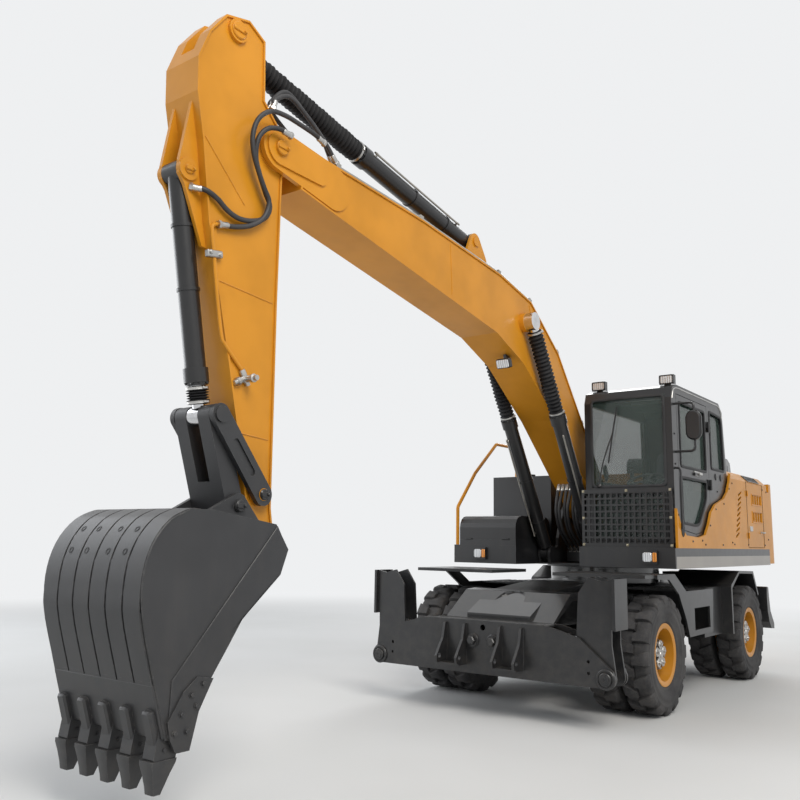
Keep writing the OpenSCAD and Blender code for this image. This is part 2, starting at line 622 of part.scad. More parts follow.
module engine_hood() color(black) place() difference() {
    union() {
        block([hood_x0 - hood_lap, hood_y0 - hood_lap, body_top + gap], [hood_x1 + hood_lap, hood_y1 + hood_lap, body_top + 10]);
        for (x = [hood_x0 + 100, hood_x1 - 180]) {
            pin_x(x, x + 80, leaf_r + 1, [hood_y1 + hood_lap + 12, body_top + 12]);
            block([x, hood_y1 + hood_lap - 20, body_top + 6], [x + 80, hood_y1 + hood_lap + 12, body_top + 14]);
        }
        side_form(hood_x0 + 30, hood_x1 - 30) polygon([[hood_y0 + 40, body_top + gap], [hood_y1 - 40, body_top + gap],
            [hood_y1 - 90, body_top + 200], [hood_y1 - 200, body_top + 250], [hood_y0 + 110, body_top + 250],
            [hood_y0 + 40, body_top + 180]]);
    }
    side_form(hood_x0 + 42, hood_x1 - 42) polygon([[hood_y0 + 52, body_top - 60], [hood_y1 - 54, body_top - 60],
        [hood_y1 - 100, body_top + 192], [hood_y1 - 204, body_top + 238], [hood_y0 + 114, body_top + 238],
        [hood_y0 + 52, body_top + 174]]);
}
module engine() color(steel) place() block([-450, 1150, deck_top], [450, 2050, 2180]);

// Tank behind the toolbox, and the toolbox with its lid, on the machine's right
tank_x1 = -480;
module tanks() color(charcoal) place() {
    difference() {
        block([-half, -360, deck_top], [tank_x1, bay_front - 4, 2290]);
        block([-half + 12, -348, deck_top + 12], [tank_x1 - 12, bay_front - 16, 2278]);
    }
    translate([-1000, 100, 2290]) cylinder(h = 60, r = 70);
    difference() {
        block([box_x0, -1200, deck_top], [tank_x1, -366, deck_top + 60]);
        block([box_x0 + 12, -1188, deck_top + 12], [tank_x1 - 12, -378, deck_top + 61]);
    }
}
box_x0 = 60 - half;
lid_z = deck_top + 60 + gap;
module toolbox_lid() color(black) place() {
    for (x = [box_x0 + 80, tank_x1 - 160]) {
        pin_x(x, x + 80, leaf_r - 1, [-1208, lid_z + 8]);
        block([x, -1208, lid_z + 4], [x + 80, -1195, lid_z + 12]);
    }
    lid_cover();
}
module lid_cover() difference() {
    side_form(box_x0, tank_x1) polygon(concat([[-400, lid_z]], arc([-510, 1690], 110, 0, 90, 4),
        arc([-1070, 1670], 130, 90, 180, 4), [[-1200, lid_z]]));
    side_form(box_x0 + 10, tank_x1 - 10) polygon(concat([[-410, lid_z - 1]], arc([-520, 1680], 110, 0, 90, 4),
        arc([-1060, 1660], 130, 90, 180, 4), [[-1190, lid_z - 1]]));
}

// Handrails of orange tube
module rails() color(orange) place() {
    side_tube(-half + 24, [[-1190, deck_top + gap], [-1190, 1900], [-820, 2310], [-330, 2700], [60, 2700], [170, 2600],
        [170, 2290 + gap]], 19, 60);
    side_tube(tank_x1 - 60, [[-250, 2290 + gap], [-250, 2560], [480, 2560], [480, 2290 + gap]], 19, 60);
}

// Lamps and the mirror
mirror_x = 1412;
mirror_y = -1010;
mirror_w = 156;
module work_lamp(p) translate(p) {
    block([-75, -32, 0], [75, 28, 95]);
    block([-30, -10, -14], [30, 20, 1]);
}
module lamps() color(black) place() {
    for (x = [385, 1120]) work_lamp([x, cab_front + 190, roof_z + 14 + gap]);
    for (x = [-900, 1010]) block([x - 70, -1250, 1325], [x + 70, -1220, 1455]);
    translate([cab_x1, mirror_y, 0]) rotate([90, 0, 0])
        tube([[gap, 2900], [mirror_x - cab_x1, 2900], [mirror_x - cab_x1, 2420], [gap, 2420]], 12, 40);
    front_form(mirror_y - 30, mirror_y - 12) bar([mirror_x, 2600], [mirror_x, 2740], mirror_w / 2, mirror_w / 2);
}

// Cab: a hollow shell with its windows and the door opening cut
cab_side = [[cab_rear, deck_top], [cab_rear, 2300], [600, 3020], [480, roof_z], [-920, roof_z], [-1040, roof_z - 40],
    [cab_front, 2960], [cab_front, deck_top]];
cab_run = [for (i = [len(cab_side) - 1 : -1 : 0]) cab_side[i]];
door_out = [[-935, 1668], [-480, 1625], [-300, 1650], [-160, 1780], [-80, 1900], [20, 1960], [20, 3010], [-935, 3010]];
upper_pane = [[-870, 2280], [-50, 2280], [-50, 2950], [-870, 2950]];
lower_pane = [[-860, 1720], [-460, 1700], [-350, 1720], [-170, 1900], [-90, 2000], [-60, 2190], [-870, 2190]];
quarter_pane = [[110, 2330], [590, 2330], [560, 2900], [520, 2960], [110, 2980]];
right_pane = [[-980, 1900], [520, 1900], [480, 2950], [-980, 2950]];
module cab_shell() color(black) place() {
    cab_walls();
    for (z = hinge_z) {
        translate([cab_x1 + hinge_off, hinge_y, z - 50]) cylinder(h = 50 - gap, r = hinge_r);
        block([cab_x1 - 5, hinge_y + 14, z - 50], [cab_x1 + 8, hinge_y + 70, z - gap]);
        block([cab_x1 + 4, hinge_y + 4, z - 50], [cab_x1 + hinge_off, hinge_y + 20, z - gap]);
    }
}
module cab_walls() difference() {
    side_form(cab_x0, cab_x1) polygon(cab_side);
    side_form(cab_x0 + cab_wall, cab_x1 - cab_wall) polygon(inset(cab_side, cab_wall));
    side_form(cab_x1 - cab_wall - 1, cab_x1 + 1) polygon(inset(door_out, -clear));
    side_form(cab_x1 - cab_wall - 1, cab_x1 + 1) polygon(quarter_pane);
    side_form(cab_x0 - 1, cab_x0 + cab_wall + 1) polygon(right_pane);
    block([cab_x0 + 70, cab_front - 1, 2080], [cab_x1 - 70, cab_front + cab_wall + 1, 3000]);
    block([cab_x0 + 70, cab_front - 1, 1540], [cab_x1 - 70, cab_front + cab_wall + 1, 2030]);
    block([cab_x0 + 110, cab_rear - cab_wall - 1, 1900], [cab_x1 - 110, cab_rear + 1, 2250]);
    block([cab_x0 + 150, -850, roof_z - cab_wall - 1], [cab_x1 - 150, -150, roof_z + 1]);
}
module cab_glass() color([0.35, 0.5, 0.48, 0.5]) place() {
    gx = cab_x1 - cab_wall / 2;
    side_form(gx - glass_t, gx) polygon(inset(quarter_pane, gap));
    side_form(cab_x0 + 20, cab_x0 + 20 + glass_t) polygon(inset(right_pane, gap));
    block([cab_x0 + 70 + gap, cab_front + 18, 2080 + gap], [cab_x1 - 70 - gap, cab_front + 18 + glass_t, 3000 - gap]);
    block([cab_x0 + 70 + gap, cab_front + 18, 1540 + gap], [cab_x1 - 70 - gap, cab_front + 18 + glass_t, 2030 - gap]);
    block([cab_x0 + 150 + gap, -850 + gap, roof_z - 24], [cab_x1 - 150 - gap, -150 - gap, roof_z - 24 + glass_t]);
    block([cab_x0 + 110 + gap, cab_rear - 24, 1900 + gap], [cab_x1 - 110 - gap, cab_rear - 24 + glass_t, 2250 - gap]);
}
module cab_door() color(black) place() {
    difference() {
        side_form(cab_x1 - cab_wall, cab_x1) polygon(door_out);
        side_form(cab_x1 - cab_wall - 1, cab_x1 + 1) polygon(upper_pane);
        side_form(cab_x1 - cab_wall - 1, cab_x1 + 1) polygon(lower_pane);
    }
    block([cab_x1, -480, 2225], [cab_x1 + 18, -280, 2255]);
    for (z = hinge_z) {
        translate([cab_x1 + hinge_off, hinge_y, z]) cylinder(h = hinge_h, r = hinge_r);
        block([cab_x1 - 5, hinge_y - 60, z], [cab_x1 + 8, hinge_y - 8, z + hinge_h]);
        block([cab_x1 + 4, hinge_y - 12, z], [cab_x1 + hinge_off, hinge_y, z + hinge_h]);
    }
}
// Door hinges: the door's leaf stands on the pin of the cab's leaf
hinge_off = 22;
hinge_y = 14;
hinge_r = 13;
hinge_h = 60;
hinge_z = [2150, 2780];
module door_glass() color([0.35, 0.5, 0.48, 0.5]) place() {
    gx = cab_x1 - cab_wall / 2;
    side_form(gx - glass_t, gx) polygon(inset(upper_pane, gap));
    side_form(gx - glass_t, gx) polygon(inset(lower_pane, gap));
}
floor_z = deck_top + cab_wall;
mid = (cab_x0 + cab_x1) / 2;
module driver_cushion() color(charcoal) place() {
    block([mid - 240, -240, floor_z + 260 + gap], [mid + 240, 260, floor_z + 400]);
    side_form(mid - 220, mid + 220) polygon([[160, floor_z + 390], [300, floor_z + 390], [400, floor_z + 1020],
        [330, floor_z + 1080], [280, floor_z + 1040]]);
}
module cab_interior() color(charcoal) place() {
    block([mid - 180, -150, floor_z], [mid + 180, 320, floor_z + 260]);
    for (x = [mid - 330, mid + 250]) block([x, -320, floor_z], [x + 80, 220, floor_z + 560]);
    side_form(mid - 30, mid + 30) polygon([[-760, floor_z], [-620, floor_z], [-560, floor_z + 620], [-620, floor_z + 650]]);
    translate([mid, -590, floor_z + 650]) rotate([25, 0, 0]) {
        rotate_extrude() translate([190, 0]) circle(r = 14);
        for (a = [90, 210, 330]) rotate([0, 0, a]) translate([0, -12, -8]) cube([185, 24, 16]);
        translate([0, 0, -40]) cylinder(h = 50, r = 34);
    }
    block([cab_x0 + 60, -960, floor_z], [cab_x0 + 150, -300, floor_z + 620]);
}
// Square-holed guard over the lower windscreen
guard_cols = 15;
guard_rows = 8;
guard_x0 = cab_x0 - 15;
guard_z0 = deck_top + gap;
guard_z1 = 2057;
module mesh_guard() color(black) place() {
    pitch_x = (cab_x1 - guard_x0 - 40) / guard_cols;
    pitch_z = (guard_z1 - guard_z0 - 60) / guard_rows;
    difference() {
        block([guard_x0, guard_y, guard_z0], [cab_x1, guard_y + 8, guard_z1]);
        for (i = [0 : guard_cols - 1], j = [0 : guard_rows - 1])
            translate([guard_x0 + 20 + pitch_x * (i + 0.14), guard_y - 1, guard_z0 + 30 + pitch_z * (j + 0.14)])
                cube([pitch_x * 0.72, 10, pitch_z * 0.72]);
    }
    for (x = [guard_x0 + 16, cab_x1 - 36], z = [1500, 2000]) block([x, guard_y + 8, z], [x + 20, cab_front, z + 30]);
}

// Boom: a hollow box with a fork at the tip
boom_side = [[-5250, 3925], [-4890, 3860], [-2560, 3460], [-2060, 3260], [-1370, 2780], [-230, 1800], [0, 1960],
    [-1280, 3500], [-1870, 3920], [-2480, 4050], [-3770, 4180], [-4960, 4240], [-5150, 4250], [-5250, 4150]];
lap = 12;
fork_in = arm_w / 2 + clear;
trunnion_r = 95;
arm_ear = arm_barrel_r + clear;
// A hollow box of plates: side plates inside the edges of the plates that run round it
module plate_box(w, outline, room) difference() {
    union() {
        side_form(-w + lap, w - lap) polygon(outline);
        for (s = [-1, 1]) side(s) side_form(w - lap - boom_plate, w) difference() {
            polygon(outline);
            polygon(inset(outline, boom_plate));
        }
    }
    side_form(-w + lap + boom_plate, w - lap - boom_plate) polygon(inset(room, boom_plate));
}
module boom() color(orange) place() translate([boom_x, 0, 0]) difference() {
    bw = boom_w / 2;
    union() {
        plate_box(bw, boom_side, boom_side);
        pin_x(-bw, bw, 145, foot_pin);
        both_sides() {
            side_form(fork_in, bw) bar(tip_pin, [-4900, 4060], 150, 170);
            side_form(bw - 1, bw + 14) bar(tip_pin, [-5060, 4080], 118, 60);
            pin_x(bw - lap - 1, boom_cyl_x - 45 - gap, trunnion_r, boom_cyl_eye);
            side_form(arm_ear, arm_ear + 26) bar(arm_cyl_foot, [-2780, 4090], 82, 190);
        }
        pin_x(-bw - 26, bw + 26, 55, tip_pin);
        pin_x(-arm_ear - 40, arm_ear + 40, pin_r, arm_cyl_foot);
    }
    pin_x(-bw - 1, bw + 1, 60 + gap, foot_pin);
}
// Steel pipes along the boom's upper edges, with a clamp where they start, bend and end
pipe_r = 13;
clamp_h = 46;
boom_seam = [boom_side[11] + 120 * unit(boom_side[10] - boom_side[11]), boom_side[10], boom_side[9], boom_side[8],
    boom_side[7], boom_side[7] + 900 * unit(boom_side[6] - boom_side[7])];
module boom_pipes() color(steel) place() translate([boom_x, 0, 0]) both_sides() for (i = [0 : 1]) {
    x = boom_w / 2 - 34 - 38 * i;
    last = len(boom_seam) - 1;
    way = [for (k = [0 : last]) heading(boom_seam[min(k + 1, last)] - boom_seam[max(k - 1, 0)])];
    run = [for (k = [0 : last]) boom_seam[k] + (clamp_h / 2 + gap) * [-sin(way[k]), cos(way[k])]];
    for (k = [0 : last - 1]) along(x, run[k], run[k + 1]) cylinder(h = norm(run[k + 1] - run[k]), r = pipe_r);
    for (k = [0 : last]) translate([x, boom_seam[k].x, boom_seam[k].y]) rotate([way[k], 0, 0])
        block([-17, -24, gap], [17, 24, clamp_h]);
}

// A cylinder barrel drawn along +Z from its base eye, with a closed bore for the rod
module barrel(r, len, rod_r, eye_w, eye_pin) difference() {
    union() {
        translate([0, 0, eye_pin + 50]) cylinder(h = len - eye_pin - 50, r = r);
        translate([0, 0, 20]) cylinder(h = eye_pin + 40, r = min(r, eye_w / 2));
        translate([0, 0, len - 110]) cylinder(h = 90, r = r + 12);
        rotate([0, 90, 0]) translate([0, 0, -eye_w / 2]) cylinder(h = eye_w, r = eye_pin + 38);
    }
    rotate([0, 90, 0]) translate([0, 0, -eye_w]) cylinder(h = 2 * eye_w, r = eye_pin + gap);
    translate([0, 0, eye_pin + 70]) cylinder(h = len, r = rod_r + gap);
}
// A rod drawn along +Z with its eye at the distance len
module rod(r, from, len, eye_w, eye_r) {
    translate([0, 0, from]) cylinder(h = len - from - 10, r = r);
    translate([0, 0, len]) rotate([0, 90, 0]) translate([0, 0, -eye_w / 2]) cylinder(h = eye_w, r = eye_r);
}
boom_rod_r = 45;
module boom_barrels() color(black) place() translate([boom_x, 0, 0]) both_sides()
    along(boom_cyl_x, boom_cyl_foot, boom_cyl_eye) barrel(boom_barrel_r, barrel_len, boom_rod_r, boom_eye_w, 50);
module boom_rods() color(steel) place() translate([boom_x, 0, 0]) both_sides()
    along(boom_cyl_x, boom_cyl_foot, boom_cyl_eye) rod(boom_rod_r, 780, norm(boom_cyl_eye - boom_cyl_foot), 90, 88);
bellows_r = 92;
module bellows(from, to, r, hole) translate([0, 0, from]) difference() {
    cylinder(h = to - from, r = r);
    translate([0, 0, -1]) cylinder(h = to - from + 2, r = hole);
}
module boom_bellows() color(black) place() translate([boom_x, 0, 0]) both_sides()
    along(boom_cyl_x, boom_cyl_foot, boom_cyl_eye)
        bellows(barrel_len + gap, norm(boom_cyl_eye - boom_cyl_foot) - trunnion_r - clear, bellows_r - 10, 52);

arm_rod_r = 48;
arm_cyl_len = norm(arm_cyl_eye - arm_cyl_foot);
module arm_barrel() color(black) place()
    along(boom_x, arm_cyl_foot, arm_cyl_eye) barrel(arm_barrel_r, barrel_len, arm_rod_r, 2 * (arm_ear - gap), pin_r);
module arm_rod() color(steel) place()
    along(boom_x, arm_cyl_foot, arm_cyl_eye) rod(arm_rod_r, 1130, arm_cyl_len, 100, 80);
module arm_bellows() color(black) place()
    along(boom_x, arm_cyl_foot, arm_cyl_eye) bellows(barrel_len + gap, arm_cyl_len - 290, bellows_r, 56);

// Arm: a hollow box with an open fork at its head
arm_side = [[-5960, 4900], [-6090, 4720], [-6170, 4500], [-6160, 4270], [-6095, 3970], [-6015, 3460], [-5800, 2610],
    [-5640, 1940], [-5570, 1560], [-5520, 1420], [-5330, 1420], [-5380, 1700], [-5400, 3100], [-5400, 3960], [-5330, 4100],
    [-5330, 4200], [-5590, 4450], [-5610, 4880], [-5760, 4960]];
bucket_ear = bucket_barrel_r + clear;
arm_box = [[-6100, 4020], [-6015, 3460], [-5800, 2610], [-5640, 1940], [-5570, 1560], [-5520, 1420],
    [-5330, 1420], [-5380, 1700], [-5400, 3100], [-5400, 3960], [-5440, 4360], [-5900, 4480], [-6130, 4300]];
module arm() color(orange) place() translate([boom_x, 0, 0]) difference() {
    aw = arm_w / 2;
    union() {
        difference() {
            plate_box(aw, arm_side, arm_box);
            side_form(-62, 62) polygon([[-6400, 4560], [-5950, 4620], [-5620, 4560], [-5500, 4560], [-5500, 5200],
                [-6400, 5200]]);
        }
        pin_x(-aw, aw, 150, tip_pin);
        pin_x(-aw + 5, aw - 5, 118, bucket_pin);
        pin_x(-aw, aw, 72, rocker_pin);
        both_sides() {
            pin_x(50 + gap, aw + 12, 78, arm_cyl_eye);
            side_form(bucket_ear, bucket_ear + 26) polygon([bucket_cyl_foot + [-70, 40], bucket_cyl_foot + [-66, -40],
                bucket_cyl_foot + [-20, -100], [-6010, 3300], [-5970, 3300], [-6080, 4200], [-6150, 4220]]);
            pin_x(bucket_ear, bucket_ear + 40, 72, bucket_cyl_foot);
            pin_x(aw - 1, aw + 46, 40, rocker_pin);
        }
        pin_x(-bucket_ear - 40, bucket_ear + 40, 35, bucket_cyl_foot);
    }
    pin_x(-aw - 1, aw + 1, 55 + gap, tip_pin);
    pin_x(-aw - 1, aw + 1, pin_r + gap, bucket_pin);
}
bucket_rod_r = 40;
bucket_cyl_len = norm(link_pin - bucket_cyl_foot);
module bucket_barrel() color(black) place()
    along(boom_x, bucket_cyl_foot, link_pin)
        barrel(bucket_barrel_r, bucket_barrel_len, bucket_rod_r, 2 * (bucket_ear - gap), 35);
module bucket_rod() color(steel) place()
    along(boom_x, bucket_cyl_foot, link_pin) rod(bucket_rod_r, 170, bucket_cyl_len, 110, 62);

// Rocker plates on the arm and the H-shaped link on the bucket
module rocker() color(charcoal) place() translate([boom_x, 0, 0]) both_sides() difference() {
    x0 = arm_w / 2 + 8;
    union() {
        side_form(x0, x0 + 36) bar(rocker_pin, link_pin, 72, 68);
        pin_x(x0, x0 + 50, 50, link_pin);
    }
    pin_x(x0 - 5, x0 + 60, 40 + gap, rocker_pin);
    side_form(x0 + 24, x0 + 37) bar(rocker_pin + [-110, 136], rocker_pin + [-250, 309], 26, 26);
}
module link() color(charcoal) place() translate([boom_x, 0, 0]) difference() {
    lw = arm_w / 2 + 2;
    side_form(-lw, lw) bar(link_pin, ear_pin, 66, 68);
    side_form(-55 - gap, 55 + gap) bar(link_pin + [-20, 60], link_pin + 0.62 * (ear_pin - link_pin), 130, 80);
    pin_x(-lw - 1, lw + 1, 40 + gap, ear_pin);
}

// Bucket: curved shell, side plates, ears, teeth and side cutters
bucket_back = [[-5610, 1590], [-6120, 1660], [-6270, 1655], [-6390, 1600], [-6480, 1500], [-6535, 1370], [-6552, 1210],
    [-6525, 1040], [-6440, 760], [-6350, 470]];
strip_t = 10;
strip_count = 6;
strip_zone = [[-6700, 1120], [-6300, 1120], [-6100, 700], [-6400, 585], [-6700, 585]];
bucket_mouth = [[-6230, 470], [-6060, 750], [-5960, 890], [-5850, 1050], [-5560, 1290], [-5500, 1440]];
bucket_side = concat(bucket_back, bucket_mouth);
module bucket() color(charcoal) place() translate([boom_x, 0, 0]) {
    w = bucket_w / 2;
    t = bucket_plate;
    pitch = bucket_w / strip_count;
    difference() {
        side_form(-w, w) polygon(bucket_side);
        side_form(-w + t, w - t) polygon(inset(bucket_side, t));
        side_form(-w + t, w - t) polygon([[-6280, 440], [-6290, 560], [-5980, 1020], [-5640, 1560], [-5400, 1500],
            [-5400, 400]]);
    }
    both_sides() {
        side_form(arm_w / 2 + 5, arm_w / 2 + 37) polygon(concat([[-6180, 1650], [-5940, 1655]],
            arc(ear_pin, 78, 130, 60, 3), arc(bucket_pin, 92, 40, -90, 4), [[-5560, 1300], [-5640, 1500], [-5900, 1560]]));
        side_form(w - 1, w + 18) polygon([[-6330, 470], [-6350, 560], [-6260, 700], [-6170, 770], [-6060, 750],
            [-6150, 590], [-6200, 400], [-6290, 400]]);
    }
    for (i = [0 : strip_count - 1]) side_form(-w + pitch * i + 6, -w + pitch * (i + 1) - 6) intersection() {
        difference() {
            polygon(inset(bucket_side, -strip_t));
            polygon(inset(bucket_side, 1));
        }
        polygon(strip_zone);
    }
    pin_x(-arm_w / 2 - 50, arm_w / 2 + 50, pin_r, bucket_pin);
    pin_x(-arm_w / 2 - 50, arm_w / 2 + 50, 40, ear_pin);
    for (i = [0 : tooth_count - 1]) {
        x = -w + 62 + i * (bucket_w - 124) / (tooth_count - 1);
        side_form(x - 45, x + 45) polygon([[-6370, 560], [-6400, 380], [-6375, 330], [-6270, 330], [-6240, 470], [-6260, 540]]);
        side_form(x - 34, x + 34) polygon([[-6385, 360], [-6375, 210], [-6345, 205], [-6280, 350]]);
    }
}

chassis();
stabiliser_beam();
front_axle();
rear_axle();
fenders();
knuckle(1);  // knuckle_left
knuckle(-1);  // knuckle_right
steering_rod();
rims(1, -front_axle_y);  // rims_front_left
rims(-1, -front_axle_y);  // rims_front_right
rims(1, rear_axle_y);  // rims_rear_left
rims(-1, rear_axle_y);  // rims_rear_right
tyres(1, -front_axle_y);  // tyres_front_left
tyres(-1, -front_axle_y);  // tyres_front_right
tyres(1, rear_axle_y);  // tyres_rear_left
tyres(-1, rear_axle_y);  // tyres_rear_right
leg(1);  // leg_left
leg(-1);  // leg_right
leg_barrel(1);  // leg_barrel_left
leg_barrel(-1);  // leg_barrel_right
leg_rod(1);  // leg_rod_left
leg_rod(-1);  // leg_rod_right
blade();
blade_arms();
blade_links();
blade_barrel();
blade_rod();
deck();
counterweight();
bodywork();
engine();
tanks();
rails();
lamps();
cab_shell();
cab_glass();
cab_interior();
driver_cushion();
mesh_guard();
cab_door();
door_glass();
engine_hood();
side_door();
toolbox_lid();
boom();
boom_pipes();
boom_barrels();
boom_rods();
boom_bellows();
arm();
arm_barrel();
arm_rod();
arm_bellows();
bucket();
bucket_barrel();
bucket_rod();
rocker();
link();
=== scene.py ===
"""Looks of a wheeled excavator: paint, rubber, hoses, bellows, tyres and trim around the fixed frame.

Lengths are in metres. Places are worked out from the slewing axis at ground level: X to the machine's left,
-Y forward, Z up. The function here() moves them into the frame's own axes.
"""
from __future__ import annotations

import logging
import math
from dataclasses import dataclass, field, replace
from enum import Enum
from typing import Any, Iterable, Sequence

import bpy
import numpy as np
from mathutils import Matrix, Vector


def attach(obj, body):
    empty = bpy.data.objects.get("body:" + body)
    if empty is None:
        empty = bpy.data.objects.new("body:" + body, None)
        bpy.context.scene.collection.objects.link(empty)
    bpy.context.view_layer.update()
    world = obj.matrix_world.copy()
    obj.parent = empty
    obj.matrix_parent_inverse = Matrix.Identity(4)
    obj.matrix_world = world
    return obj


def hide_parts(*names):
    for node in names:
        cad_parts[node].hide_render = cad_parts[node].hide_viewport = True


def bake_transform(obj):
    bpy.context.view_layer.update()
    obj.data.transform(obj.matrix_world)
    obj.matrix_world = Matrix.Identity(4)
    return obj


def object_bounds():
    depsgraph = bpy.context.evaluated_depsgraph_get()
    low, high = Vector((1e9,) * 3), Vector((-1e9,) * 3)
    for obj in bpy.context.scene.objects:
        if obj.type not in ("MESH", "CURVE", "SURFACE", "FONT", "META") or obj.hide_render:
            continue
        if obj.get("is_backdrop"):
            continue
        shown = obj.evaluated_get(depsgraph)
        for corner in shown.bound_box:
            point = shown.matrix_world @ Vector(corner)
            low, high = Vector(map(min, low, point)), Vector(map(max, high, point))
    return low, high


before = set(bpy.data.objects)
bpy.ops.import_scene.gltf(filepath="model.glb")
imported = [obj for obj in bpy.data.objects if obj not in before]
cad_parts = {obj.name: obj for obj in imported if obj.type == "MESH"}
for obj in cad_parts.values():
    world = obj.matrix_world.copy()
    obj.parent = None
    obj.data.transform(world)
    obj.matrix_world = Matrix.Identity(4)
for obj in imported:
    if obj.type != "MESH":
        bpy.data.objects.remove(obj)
cad_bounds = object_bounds()
log = logging.getLogger("excavator")

Array = np.ndarray
SLEW = np.array([-0.119, 1.890, 0.0])
BOOM_X = -0.100
AXLE_Z = 0.527
FRONT_Y = -1.500
REAR_Y = 1.280


class Side(Enum):
    """The two sides of the machine, by the sign of X."""

    LEFT = 1.0
    RIGHT = -1.0


def here(x: float, y: float, z: float) -> Array:
    """A place given from the slewing axis, in the frame's axes."""
    return np.array([x, y, z], float) + SLEW


def unit(v: Array) -> Array:
    """Vectors scaled to a length of one, along the last axis: v / |v|."""
    v = np.asarray(v, float)
    return v / np.maximum(np.linalg.norm(v, axis=-1, keepdims=True), 1e-12)


# Meshes

@dataclass
class Form:
    """A mesh as whole arrays: points (n, 3) and lists of faces with three or four corners.

    Args:
        points: the corners of the mesh.
        faces: face arrays, each (m, 3) or (m, 4), counted anticlockwise from outside.
    """

    points: Array = field(default_factory=lambda: np.zeros((0, 3)))
    faces: list[Array] = field(default_factory=list)

    @staticmethod
    def sum(parts: Iterable["Form"]) -> "Form":
        """Joins forms by stacking their points and shifting their face numbers."""
        points, faces, start = [], [], 0
        for part in parts:
            points.append(part.points)
            faces += [f + start for f in part.faces]
            start += len(part.points)
        return Form(np.concatenate(points) if points else np.zeros((0, 3)), faces)

    def moved(self, by: Sequence[float]) -> "Form":
        """The form shifted: p + by."""
        return Form(self.points + np.asarray(by, float), self.faces)

    def turned(self, axis: str, degrees: float, about: Sequence[float] = (0, 0, 0)) -> "Form":
        """The form turned about a line along X, Y or Z through the point about: R (p - c) + c."""
        a, c, s = "XYZ".index(axis), math.cos(math.radians(degrees)), math.sin(math.radians(degrees))
        r, (i, j) = np.eye(3), ((a + 1) % 3, (a + 2) % 3)
        r[i, i], r[i, j], r[j, i], r[j, j] = c, -s, s, c
        centre = np.asarray(about, float)
        return Form((self.points - centre) @ r.T + centre, self.faces)

    def framed(self, origin: Sequence[float], x: Sequence[float], z: Sequence[float]) -> "Form":
        """The form carried into the axes x, y = z × x, z at origin: o + p.x x + p.y y + p.z z."""
        z = unit(z)
        x = unit(np.asarray(x, float) - np.dot(x, z) * z)
        return Form(self.points @ np.stack([x, np.cross(z, x), z]) + np.asarray(origin, float), self.faces)

    def flipped(self) -> "Form":
        """The form with every face turned inside out."""
        return Form(self.points, [f[:, ::-1] for f in self.faces])

    def mirrored(self, x: float = 0.0) -> "Form":
        """The form mirrored in the plane X = x: (2x - p.x, p.y, p.z), with its faces turned back outwards."""
        return Form(self.points * [-1, 1, 1] + [2 * x, 0, 0], self.faces).flipped()

    def both(self, x: float = 0.0) -> "Form":
        """The form with its mirror image in the plane X = x."""
        return Form.sum([self, self.mirrored(x)])

    def copies(self, places: Array) -> "Form":
        """One copy of the form at each of the places (m, 3)."""
        places = np.asarray(places, float).reshape(-1, 3)
        n, m = len(self.points), len(places)
        points = (self.points[None] + places[:, None]).reshape(-1, 3)
        steps = np.arange(m)[:, None, None] * n
        return Form(points, [(f[None] + steps).reshape(-1, f.shape[1]) for f in self.faces])

    def ring(self, count: int, axis: str, about: Sequence[float], start: float = 0.0) -> "Form":
        """The form repeated round a line through about, at start + 360 i / count degrees."""
        return Form.sum(self.turned(axis, start + 360.0 * i / count, about) for i in range(count))

    def piece(self, name: str, finish: bpy.types.Material, sharp: float = 35.0) -> bpy.types.Object:
        """Writes the arrays into a mesh with foreach_set and links its object at the origin.

        Args:
            name: the object's name.
            finish: the material of every face.
            sharp: edges that fold by more than this many degrees stay sharp.

        Returns:
            The new object.
        """
        sizes = np.concatenate([np.full(len(f), f.shape[1]) for f in self.faces])
        corners = np.concatenate([f.reshape(-1) for f in self.faces])
        mesh = bpy.data.meshes.new(name)
        mesh.vertices.add(len(self.points))
        mesh.vertices.foreach_set("co", (self.points + SLEW).astype(np.float32).reshape(-1))
        mesh.loops.add(len(corners))
        mesh.loops.foreach_set("vertex_index", corners.astype(np.int32))
        mesh.polygons.add(len(sizes))
        mesh.polygons.foreach_set("loop_start", (np.cumsum(sizes) - sizes).astype(np.int32))
        mesh.update(calc_edges=True)
        mesh.validate()
        mesh.polygons.foreach_set("use_smooth", np.ones(len(mesh.polygons), bool))
        mesh.set_sharp_from_angle(angle=math.radians(sharp))
        mesh.materials.append(finish)
        obj = bpy.data.objects.new(name, mesh)
        bpy.context.scene.collection.objects.link(obj)
        return obj


def grid(points: Array, wrap_u: bool = False, wrap_v: bool = False) -> Form:
    """Quads over a grid of points (nu, nv, 3), closed round u or v where asked; u × v points outwards."""
    nu, nv = points.shape[:2]
    i = np.arange(nu if wrap_u else nu - 1)[:, None]
    j = np.arange(nv if wrap_v else nv - 1)[None, :]
    i2, j2 = (i + 1) % nu, (j + 1) % nv
    quads = np.stack([i * nv + j, i2 * nv + j, i2 * nv + j2, i * nv + j2], -1).reshape(-1, 4)
    return Form(points.reshape(-1, 3), [quads])


def fan(ring: Array, outward: Sequence[float]) -> Form:
    """A flat cap over a closed ring (n, 3), as triangles round its middle, facing outward."""
    n = len(ring)
    points = np.vstack([ring, ring.mean(0)])
    i = np.arange(n)
    tris = np.stack([i, (i + 1) % n, np.full(n, n)], -1)
    a, b, c = points[tris[0]]
    if np.dot(np.cross(b - a, c - a), outward) < 0:
        tris = tris[:, ::-1]
    return Form(points, [tris])


